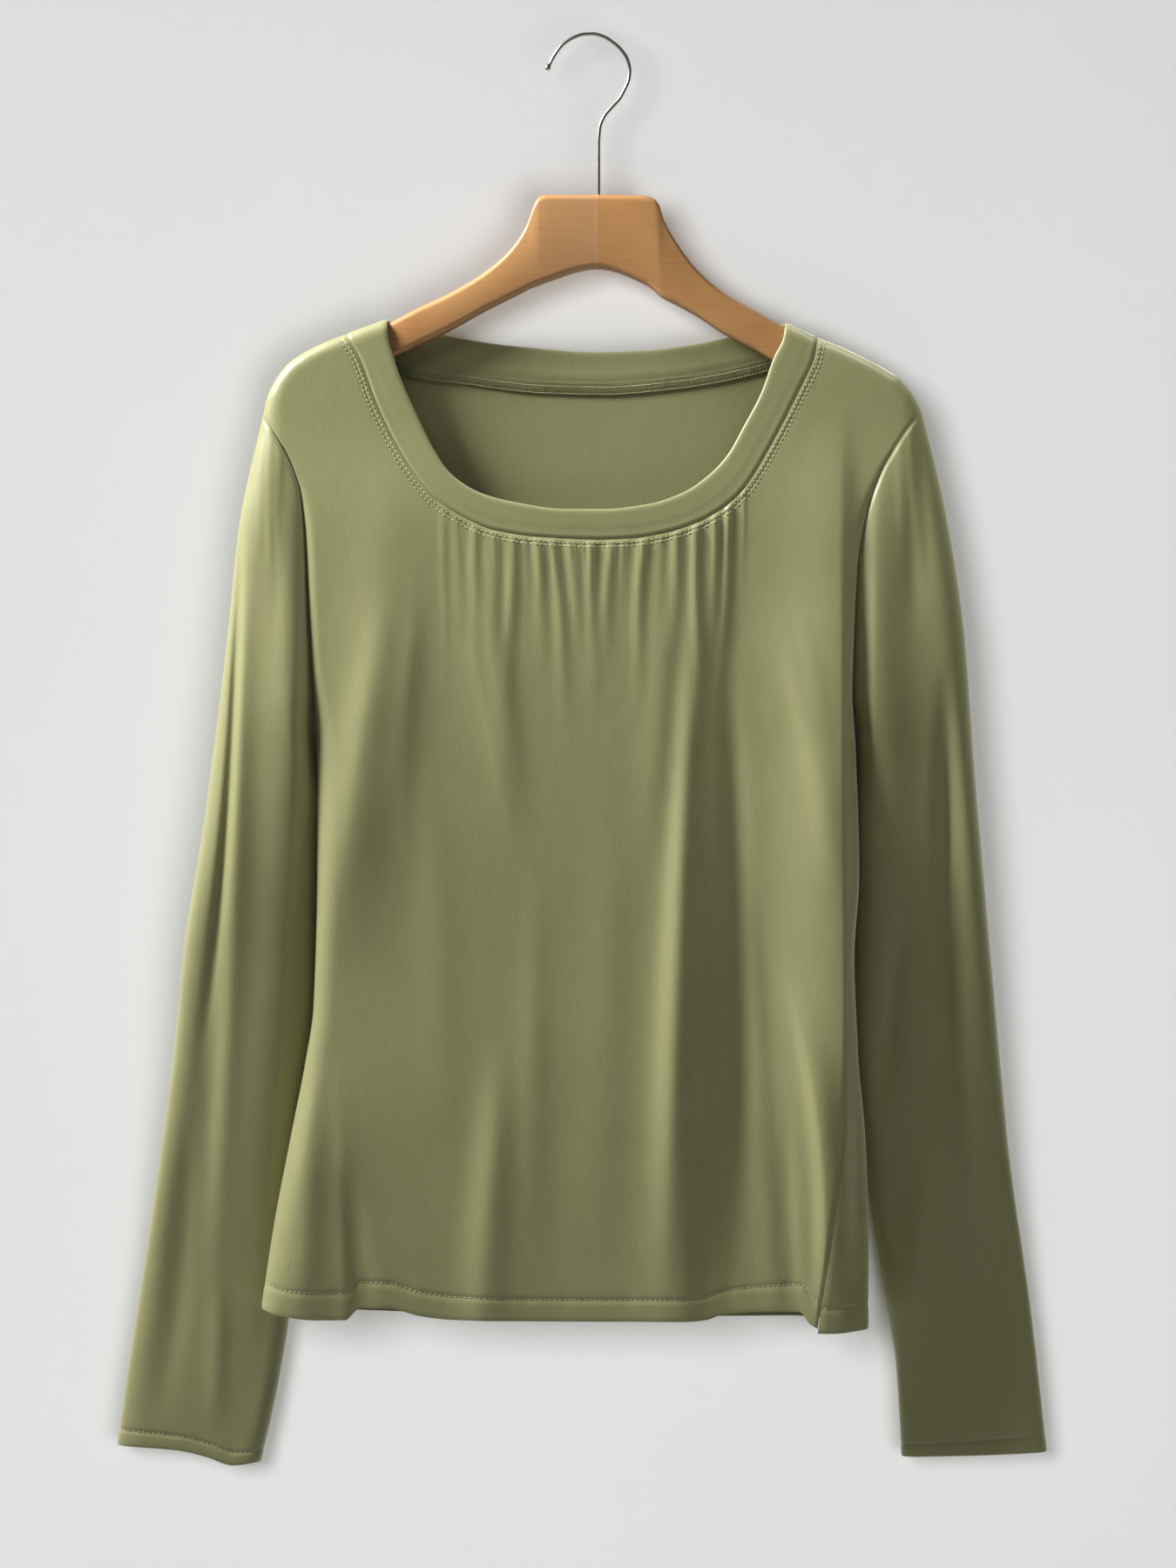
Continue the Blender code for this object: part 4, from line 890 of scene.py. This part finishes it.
print("cloth panels")
frontPanel, frontHemPath = makePanel("frontPanel", front, sideSeamLeft, hemFront)
backPanel, backHemPath = makePanel("backPanel", back, sideLeft, hemBack)
sleeveRight, cuffRightPath = makeSleeve(sleeves[0])
sleeveLeft, cuffLeftPath = makeSleeve(sleeves[1])
neckBand = makeNeckband()


# Stitches: a row of short threads along a path, in millimetres. They are drawn a
# little coarser than real ones, so that they show. The names are those of the
# inputs of the node groups.
hemThread = {"Pitch": 3.0, "Length": 2.3, "Width": 0.72}
coverThread = {"Pitch": 3.0, "Length": 2.1, "Width": 0.7}
overlockThread = {"Width": 0.62}
coverAway = (2.7, 4.9)   # the two rows, from the neck seam


def makeTree(name, sizes, draw):  # draw makes the geometry from the group's inputs
    tree = bpy.data.node_groups.new(name, "GeometryNodeTree")
    tree.interface.new_socket("Geometry", in_out="INPUT", socket_type="NodeSocketGeometry")
    for key, value in sizes.items():
        socket = tree.interface.new_socket(key, in_out="INPUT", socket_type="NodeSocketFloat")
        socket.default_value = value * mm
    tree.interface.new_socket("Thread", in_out="INPUT", socket_type="NodeSocketMaterial")
    tree.interface.new_socket("Geometry", in_out="OUTPUT", socket_type="NodeSocketGeometry")
    start = addNode(tree, "NodeGroupInput").outputs
    real = addNode(tree, "GeometryNodeRealizeInstances", {"Geometry": draw(tree, start)})
    shown = addNode(tree, "GeometryNodeSetMaterial", {
        "Geometry": real.outputs["Geometry"], "Material": start["Thread"]})
    addNode(tree, "NodeGroupOutput", {"Geometry": shown.outputs["Geometry"]})
    return tree


def drawStitches(tree, start):
    points = addNode(tree, "GeometryNodeCurveToPoints", {
        "Curve": start["Geometry"], "Length": start["Pitch"]}, {"mode": "LENGTH"})
    bead = addNode(tree, "GeometryNodeMeshUVSphere", {
        "Segments": 6, "Rings": 4, "Radius": 0.5})
    smooth = addNode(tree, "GeometryNodeSetShadeSmooth", {"Geometry": bead.outputs["Mesh"]})
    size = addNode(tree, "ShaderNodeCombineXYZ", {
        "X": start["Width"], "Y": start["Width"], "Z": start["Length"]})
    return addNode(tree, "GeometryNodeInstanceOnPoints", {
        "Points": points.outputs["Points"], "Instance": smooth.outputs["Geometry"],
        "Rotation": points.outputs["Rotation"],
        "Scale": size.outputs["Vector"]}).outputs["Instances"]


def drawThread(tree, start):
    profile = addNode(tree, "GeometryNodeCurvePrimitiveCircle", {
        "Resolution": 5, "Radius": calculate(tree, "MULTIPLY", start["Width"], 0.5)})
    swept = addNode(tree, "GeometryNodeCurveToMesh", {
        "Curve": start["Geometry"], "Profile Curve": profile.outputs["Curve"], "Fill Caps": True})
    return addNode(tree, "GeometryNodeSetShadeSmooth", {
        "Geometry": swept.outputs["Mesh"]}).outputs["Geometry"]


def makeAlong(name, tree, paths, values):
    curve = bpy.data.curves.new(name + "Path", "CURVE")
    curve.dimensions = "3D"
    for path in paths:
        line = curve.splines.new("POLY")
        line.points.add(len(path) - 1)
        line.points.foreach_set("co", np.c_[path * mm, np.ones(len(path))].ravel())
    guide = linkObject(name + "Guide", curve)
    modifier = guide.modifiers.new("stitches", "NODES")
    modifier.node_group = tree
    sockets = {item.name: item.identifier for item in tree.interface.items_tree
               if item.in_out == "INPUT"}  # by name, since a modifier wants the identifier
    for key, value in values.items():
        modifier[sockets[key]] = value * mm
    modifier[sockets["Thread"]] = threadOlive
    made = guide.evaluated_get(bpy.context.evaluated_depsgraph_get())
    mesh = bpy.data.meshes.new_from_object(made)
    mesh.name = name
    bpy.data.objects.remove(guide, do_unlink=True)
    if not mesh.materials:
        mesh.materials.append(threadOlive)
    return linkObject(name, mesh)


# Rows of stitches that lie on the cloth are found by looking at the panels from
# in front or from behind.
def surfaceLine(piece, x, z, side, lift):
    tree = BVHTree.FromObject(piece, bpy.context.evaluated_depsgraph_get())
    points = []
    for placeX, placeZ in zip(x, z):
        start = Vector((placeX * mm, side * 0.2, placeZ * mm))
        hit, normal, _, _ = tree.ray_cast(start, Vector((0, -side, 0)))
        if hit is not None:
            points.append(np.array(hit + normal * lift * mm) / mm)
    return np.array(points)


def beside(outline, distance, margin, step):  # a line outside an outline, in step with it
    line = along(outline, np.arange(margin, chords(outline)[-1] - margin, step))
    return line - inward(line) * np.reshape(distance, (-1, 1))


def makeCoverStitch():
    paths = []
    for piece, face in ((frontPanel, front), (backPanel, back)):
        for distance in coverAway:
            line = beside(face.neck, distance, 3, 1.2)
            paths.append(surfaceLine(piece, line[:, 0], line[:, 1], face.side,
                                     cloth["coverLift"]))
    return makeAlong("neckCoverStitch", stitchNodes, paths, coverThread)


# The seam allowance of the band, turned down inside the back neck and overlocked.
allowance = {"depth": 6.2, "wall": 0.7, "gap": 0.12, "halfPitch": 1.05}
allowanceAway = cloth["wall"] + allowance["gap"] + allowance["wall"]


def insideBack(distance, away):  # points inside the back panel, and the way in
    x, z = beside(neckBack, distance, 2, allowance["halfPitch"]).T
    out = fieldNormals(x, z, backY, 1)
    return np.stack([x, backY(x, z), z], -1) - out * away, -out


def makeAllowance():
    skins = [insideBack(allowance["depth"] * share, allowanceAway)
             for share in (0.02, 0.1, 0.3, 0.5, 0.7, 0.9, 1.0)]
    outer, normals = (np.stack(part) for part in zip(*skins))
    return addShell("neckAllowance", outer, normals, allowance["wall"], False)


def makeOverlock():
    rng = np.random.default_rng(7)
    count = len(insideBack(0, 0)[0])
    zigzag = np.where(np.arange(count) % 2, 0.9, allowance["depth"] + 0.35)
    paths = []
    for distance, wander in ((zigzag, 0.25), (allowance["depth"] + 0.2, 0.1), (2.6, 0.15)):
        distance = distance + rng.uniform(-wander, wander, count)
        paths.append(insideBack(distance, allowanceAway + 0.12)[0])
    return makeAlong("neckOverlock", threadNodes, paths, overlockThread)


print("stitches")
stitchNodes = makeTree("stitches along a path", hemThread, drawStitches)
threadNodes = makeTree("thread along a path", overlockThread, drawThread)
neckCoverStitch = makeCoverStitch()
neckAllowance = makeAllowance()
neckOverlock = makeOverlock()
hemStitch = makeAlong("hemStitch", stitchNodes, [frontHemPath, backHemPath], hemThread)
cuffStitchRight = makeAlong("cuffStitchRight", stitchNodes, [cuffRightPath], hemThread)
cuffStitchLeft = makeAlong("cuffStitchLeft", stitchNodes, [cuffLeftPath], hemThread)


# Hanger: two halves of beech glued at the middle, with a wire hook.
hanger = {"thickness": 11.0, "rounding": 4.2, "endRounding": 3.0, "endShare": 0.55,
          "step": 2.5, "cornerSteps": 6, "wire": 1.1, "ball": 1.9, "stemSink": 14.0,
          "stemX": 4.4, "top": -96.0, "bore": 0.28, "glueX": 3.0}
bar = rowsOf("x top bottom",
    (-189, -210, -219), (-187, -206.5, -222), (-178, -197.5, -221), (-168, -191.2, -217),
    (-155, -185.6, -211), (-140, -180.4, -204), (-123, -173.8, -196), (-106, -165, -188),
    (-85, -155, -178), (-65, -143, -167), (-49, -129, -159), (-39, -114, -154), (-35, -103, -152),
    (-32, -97.5, -151), (-27, -96, -149), (4, -96, -141), (32, -96.6, -150), (38, -98.5, -154),
    (41, -102, -157), (44, -111, -159), (52, -125, -163), (63, -140, -169), (80, -155, -180),
    (99, -166, -190), (117, -176, -201), (134, -183.6, -208), (150, -190, -214),
    (168, -198.4, -221), (180, -206, -225), (187, -211.8, -225), (190, -215.5, -222)
)
hook = [
    (-27, -21), (-24, -15), (-21, -10), (-17, -5.2), (-10, -0.8), (-5, 0.8), (1, 1.1), (7, -0.4),
    (13, -4), (18, -8.5), (22, -15), (23.2, -21), (22.4, -27), (20, -32.5), (17, -38),
    (12, -43.5), (7.6, -49), (5.2, -55), (4.4, -63)
]


def barSection(top, bottom, share):
    half = hanger["thickness"] / 2 * share
    radius = min(hanger["rounding"] * share, (top - bottom) / 2.2, half * 0.9)
    points = []
    for sideY, sideZ, start in ((1, 1, 0), (-1, 1, 90), (-1, -1, 180), (1, -1, 270)):
        for angle in np.linspace(0, 90, hanger["cornerSteps"]):
            a = np.radians(start + angle)
            centreZ = top - radius if sideZ > 0 else bottom + radius
            points.append((sideY * (half - radius) + radius * np.cos(a),
                           centreZ + radius * np.sin(a)))
    return points


# Varnished beech: warm and even, with short darker flecks along the grain, a
# lighter glue line where the halves meet and a satin coat that lifts the edges.
# The edge colour is painted shade on the rounded edges.
beech = {"light": "#d4a067", "mid": "#cf985f", "dark": "#c68d54", "edge": "#80502a",
         "glue": "#dcae80", "pale": "#cfa072", "grainMm": 1.1, "grainLongMm": 42.0,
         "mottleMm": 45.0, "paleShare": 0.6, "paleReachMm": 60.0, "glueShare": 0.55,
         "glueMm": 0.9, "edgeShare": 0.75}


def makeBeech():
    material, tree, shader, place = newMaterial("varnished beech", {
        "Roughness": 0.42, "Coat Weight": 0.35, "Coat Roughness": 0.28})
    fibre = stretched(tree, place, beech["grainLongMm"], beech["grainMm"], beech["grainMm"])
    grain = noise(tree, fibre, metre, 4.0, Distortion=0.4)
    mottle = noise(tree, place, beech["mottleMm"], 2.0)
    colour = tones(tree, mixShares(tree, 0.5, grain, mottle), beech, 0.2)
    # The half at the wearer's right is a little paler towards the glue line.
    x = addNode(tree, "ShaderNodeSeparateXYZ", {"Vector": place}).outputs["X"]
    offGlue = calculate(tree, "SUBTRACT", x, hanger["glueX"] * mm)
    nearGlue = ranged(tree, offGlue, -beech["paleReachMm"] * mm, 0.0, 0.0, beech["paleShare"])
    pale = calculate(tree, "MULTIPLY", nearGlue, calculate(tree, "LESS_THAN", offGlue, 0.0))
    colour = mixColours(tree, pale, colour, hexColour(beech["pale"]))
    toGlue = calculate(tree, "ABSOLUTE", offGlue)
    glue = ranged(tree, toGlue, 0.0, beech["glueMm"] * mm, beech["glueShare"], 0.0)
    colour = mixColours(tree, glue, colour, hexColour(beech["glue"]))
    # Painted shade: the colour darkens where the surface turns away from facing front
    # or back, on the rounded edges, the top and the underside.
    normal = addNode(tree, "ShaderNodeTexCoord").outputs["Normal"]
    facing = addNode(tree, "ShaderNodeSeparateXYZ", {"Vector": normal}).outputs["Y"]
    edge = ranged(tree, calculate(tree, "ABSOLUTE", facing), 0.15, 0.75, beech["edgeShare"], 0.0)
    colour = mixColours(tree, edge, colour, hexColour(beech["edge"]))
    tree.links.new(colour, shader.inputs["Base Color"])
    addBump(tree, shader, 0.15, 0.05, grain)
    return material


def makeNickel():
    # Satin nickel plate: a soft grey-gold metal, drawn along the wire.
    material, tree, shader, place = newMaterial("satin nickel plate", {
        "Base Color": hexColour("#b7b3a4"), "Metallic": 1.0, "Roughness": 0.3})
    rough = ranged(tree, noise(tree, place, 0.8, 2.0), 0.0, 1.0, 0.22, 0.4)
    tree.links.new(rough, shader.inputs["Roughness"])
    return material


def makeTube(name, rings, material):  # rings of points joined into a closed skin
    count, last = len(rings[0]), len(rings) - 1
    faces = [tuple(range(count)), tuple(range(last * count, (last + 1) * count))[::-1]]
    for i in range(last):
        for j in range(count):
            k = (j + 1) % count
            faces.append((i * count + j, (i + 1) * count + j, (i + 1) * count + k, i * count + k))
    return addPiece(name, np.concatenate(rings), faces, material, 0.9)


def makeBar():
    knots = [row.x for row in bar]
    places = np.unique(np.concatenate([np.arange(knots[0], knots[-1], hanger["step"]), knots,
                                       [-188.4, -187.6, 189.4, 188.4]]))
    tops, bottoms = (monotone(knots, [getattr(row, side) for row in bar], places)
                     for side in ("top", "bottom"))
    toEnd = np.minimum(places - knots[0], knots[-1] - places)
    shares = hanger["endShare"] + (1 - hanger["endShare"]) * rolled(toEnd, hanger["endRounding"])
    rings = [np.array([(x, y, z) for y, z in barSection(top, bottom, share)])
             for x, top, bottom, share in zip(places, tops, bottoms, shares)]
    piece = makeTube("hangerBar", rings, makeBeech())
    cutterMesh = bpy.data.meshes.new("stemBore")
    work = bmesh.new()
    radius = (hanger["wire"] + hanger["bore"]) * mm
    bmesh.ops.create_cone(work, cap_ends=True, segments=24, radius1=radius, radius2=radius,
                          depth=2 * (hanger["stemSink"] + hanger["bore"]) * mm)
    bmesh.ops.translate(work, verts=work.verts,
                        vec=(hanger["stemX"] * mm, 0, hanger["top"] * mm))
    work.to_mesh(cutterMesh)
    work.free()
    cutter = linkObject("stemBore", cutterMesh)
    bore = piece.modifiers.new("stem bore", "BOOLEAN")
    bore.operation, bore.solver, bore.object = "DIFFERENCE", "EXACT", cutter
    made = piece.evaluated_get(bpy.context.evaluated_depsgraph_get())
    bored = bpy.data.meshes.new_from_object(made)
    piece.modifiers.clear()
    piece.data = bored
    bpy.data.objects.remove(cutter, do_unlink=True)
    return piece


def makeHook():
    ball, wire, stemX = hanger["ball"], hanger["wire"], hanger["stemX"]
    path = along(hook, np.linspace(2.6 * ball, chords(hook)[-1], 130))
    turns = np.linspace(0.25, 2.35, 9)   # round the ball, from its tip to the wire
    head = along(hook, ball * (1 - np.cos(turns)))
    stem = [[stemX, hanger["top"] + 0.5], [stemX, hanger["top"] - hanger["stemSink"]]]
    path = np.concatenate([head, path, stem])
    radii = np.full(len(path), wire)
    radii[:len(head)] = np.maximum(ball * np.sin(turns), 0.3)
    radii[len(head) - 1] = max(radii[len(head) - 1], wire)
    tangent = np.gradient(path, axis=0)
    tangent /= np.linalg.norm(tangent, axis=1, keepdims=True)
    angles = np.linspace(0, 2 * np.pi, 20, endpoint=False)
    rings = [np.stack([centre[0] - course[1] * radius * np.cos(angles), radius * np.sin(angles),
                       centre[1] + course[0] * radius * np.cos(angles)], -1)
             for centre, radius, course in zip(path, radii, tangent)]
    return makeTube("hangerHook", rings, makeNickel())


print("hanger")
hangerBar = makeBar()
hangerHook = makeHook()


# Room: a painted wall just behind the hanger, a pale floor, soft daylight from
# the upper left.
room = {"wallY": 31.0, "floorZ": -1500.0, "size": 4.0, "wall": "#d9dada", "floor": "#dcdcd8",
        "sky": 0.07, "napMm": 1.6, "broadMm": 300.0}


def makePaint(name, colour):
    # Matt wall paint: almost even, with the faint nap of a roller.
    material, tree, shader, place = newMaterial(name, {
        "Roughness": 0.85, "Specular IOR Level": 0.25})
    nap = noise(tree, place, room["napMm"], 2.0)
    tone = ranged(tree, noise(tree, place, room["broadMm"], 1.0), 0.0, 1.0, 0.97, 1.03)
    tint = mixColours(tree, 1.0, hexColour(colour), tone, "MULTIPLY")
    tree.links.new(tint, shader.inputs["Base Color"])
    addBump(tree, shader, 0.08, 0.2, nap)
    return material, tree, shader


def makePlane(name, corners, material):
    mesh = bpy.data.meshes.new(name)
    mesh.from_pydata(corners, [], [(0, 1, 2, 3)])
    mesh.materials.append(material)
    return linkObject(name, mesh)


def makeRoom():
    half, wallY, floorZ = room["size"] / 2, room["wallY"] * mm, room["floorZ"] * mm
    paint, tree, shader = makePaint("matt wall paint", room["wall"])
    # Seen from behind, the wall is left out of the picture.
    side = addNode(tree, "ShaderNodeNewGeometry")
    ray = addNode(tree, "ShaderNodeLightPath")
    unseen = calculate(tree, "MULTIPLY", side.outputs["Backfacing"], ray.outputs["Is Camera Ray"])
    clear = addNode(tree, "ShaderNodeBsdfTransparent")
    choice = addNode(tree, "ShaderNodeMixShader", {
        0: unseen, 1: shader.outputs["BSDF"], 2: clear.outputs["BSDF"]})
    tree.links.new(choice.outputs["Shader"], tree.nodes["Material Output"].inputs["Surface"])
    wall = makePlane("wall", [(-half, wallY, floorZ), (half, wallY, floorZ),
                              (half, wallY, half), (-half, wallY, half)], paint)
    wall.visible_shadow = False
    floorPaint = makePaint("pale floor", room["floor"])[0]
    floor = makePlane("floor", [(-half, -half, floorZ), (half, -half, floorZ),
                                (half, half, floorZ), (-half, half, floorZ)], floorPaint)
    return wall, floor


# Where each light stands and where it looks, in metres.
middle = (-0.002, 0.0, -0.45)
lights = {
    "keyLight": {"place": (-1.18, -0.31, 0.7), "target": (0.15, 0.0, -0.25), "watts": 62.0,
                 "size": 0.55},
    "wallLight": {"place": (-1.3, -3.2, 0.1), "target": middle, "watts": 76.0, "size": 1.8},
    "wallFill": {"place": (0.9, -2.8, -1.1), "target": middle, "watts": 40.0, "size": 1.8},
    "fillLight": {"place": (0.45, -0.25, 0.5), "target": (0.2, 0.0, -0.2), "watts": 3.6,
                  "size": 0.3},
    "backLight": {"place": (0.6, 2.4, 0.4), "target": middle, "watts": 16.0, "size": 1.6},
}


def addLight(name, receivers=()):
    values = lights[name]
    lamp = bpy.data.lights.new(name, "AREA")
    lamp.energy, lamp.shape, lamp.size = values["watts"], "DISK", values["size"]
    light = bpy.data.objects.new(name, lamp)
    if receivers:
        lit = bpy.data.collections.new("lit by " + name)
        for piece in receivers:
            lit.objects.link(piece)
        light.light_linking.receiver_collection = lit
    light.location = values["place"]
    aim = Vector(values["target"]) - Vector(values["place"])
    light.rotation_euler = aim.to_track_quat("-Z", "Y").to_euler()
    bpy.context.scene.collection.objects.link(light)


# Each piece with its slot and the nodes of the solids that it stands for.
madeOf = [
    (frontPanel, "cloth", ["front"]), (backPanel, "cloth", ["back"]),
    (sleeveRight, "cloth", ["sleeve_right"]), (sleeveLeft, "cloth", ["sleeve_left"]),
    (neckBand, "cloth", ["neckband"]), (neckAllowance, "cloth", ["neckband"]),
    (neckOverlock, "cloth", ["neckband"]), (neckCoverStitch, "cloth", ["neckband"]),
    (hemStitch, "cloth", ["front", "back"]), (cuffStitchRight, "cloth", ["sleeve_right"]),
    (cuffStitchLeft, "cloth", ["sleeve_left"]), (hangerBar, "wood", ["hanger_bar"]),
    (hangerHook, "hook_wire", ["hanger_hook"]),
]

print("room, light and camera")
wall, floor = makeRoom()
pieces = [piece for piece, slot, nodes in madeOf]
clothPieces = [piece for piece, slot, nodes in madeOf if slot == "cloth"]
# The key rakes across the cloth and is flagged off the wall, which has its own
# broad light from nearer the camera, so its shadows stay narrow. The fill only
# lifts the cloth at the wearer's left shoulder.
addLight("keyLight", pieces)
addLight("wallLight", [wall, floor])
addLight("wallFill", [wall, floor])
addLight("fillLight", clothPieces)
addLight("backLight")

world = bpy.data.worlds.new("pale room")
world.use_nodes = True
sky = world.node_tree.nodes["Background"]
sky.inputs["Color"].default_value = hexColour("#e8ecee")
sky.inputs["Strength"].default_value = room["sky"]
bpy.context.scene.world = world
bpy.context.scene.view_settings.view_transform = "Standard"

view = {"distance": 2.6, "height": 0.945, "sensorMm": 36.0}   # metres, and what the frame spans
camera = bpy.data.objects.new("camera", bpy.data.cameras.new("camera"))
camera.location = (-2 * mm, -view["distance"], -451 * mm)
camera.rotation_euler = (math.pi / 2, 0, 0)
camera.data.sensor_width = view["sensorMm"]
camera.data.lens = view["sensorMm"] * view["distance"] / view["height"]
bpy.context.scene.collection.objects.link(camera)
bpy.context.scene.camera = camera

print("pieces")
for piece, slot, nodes in madeOf:
    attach(piece, "root")
    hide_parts(*nodes)
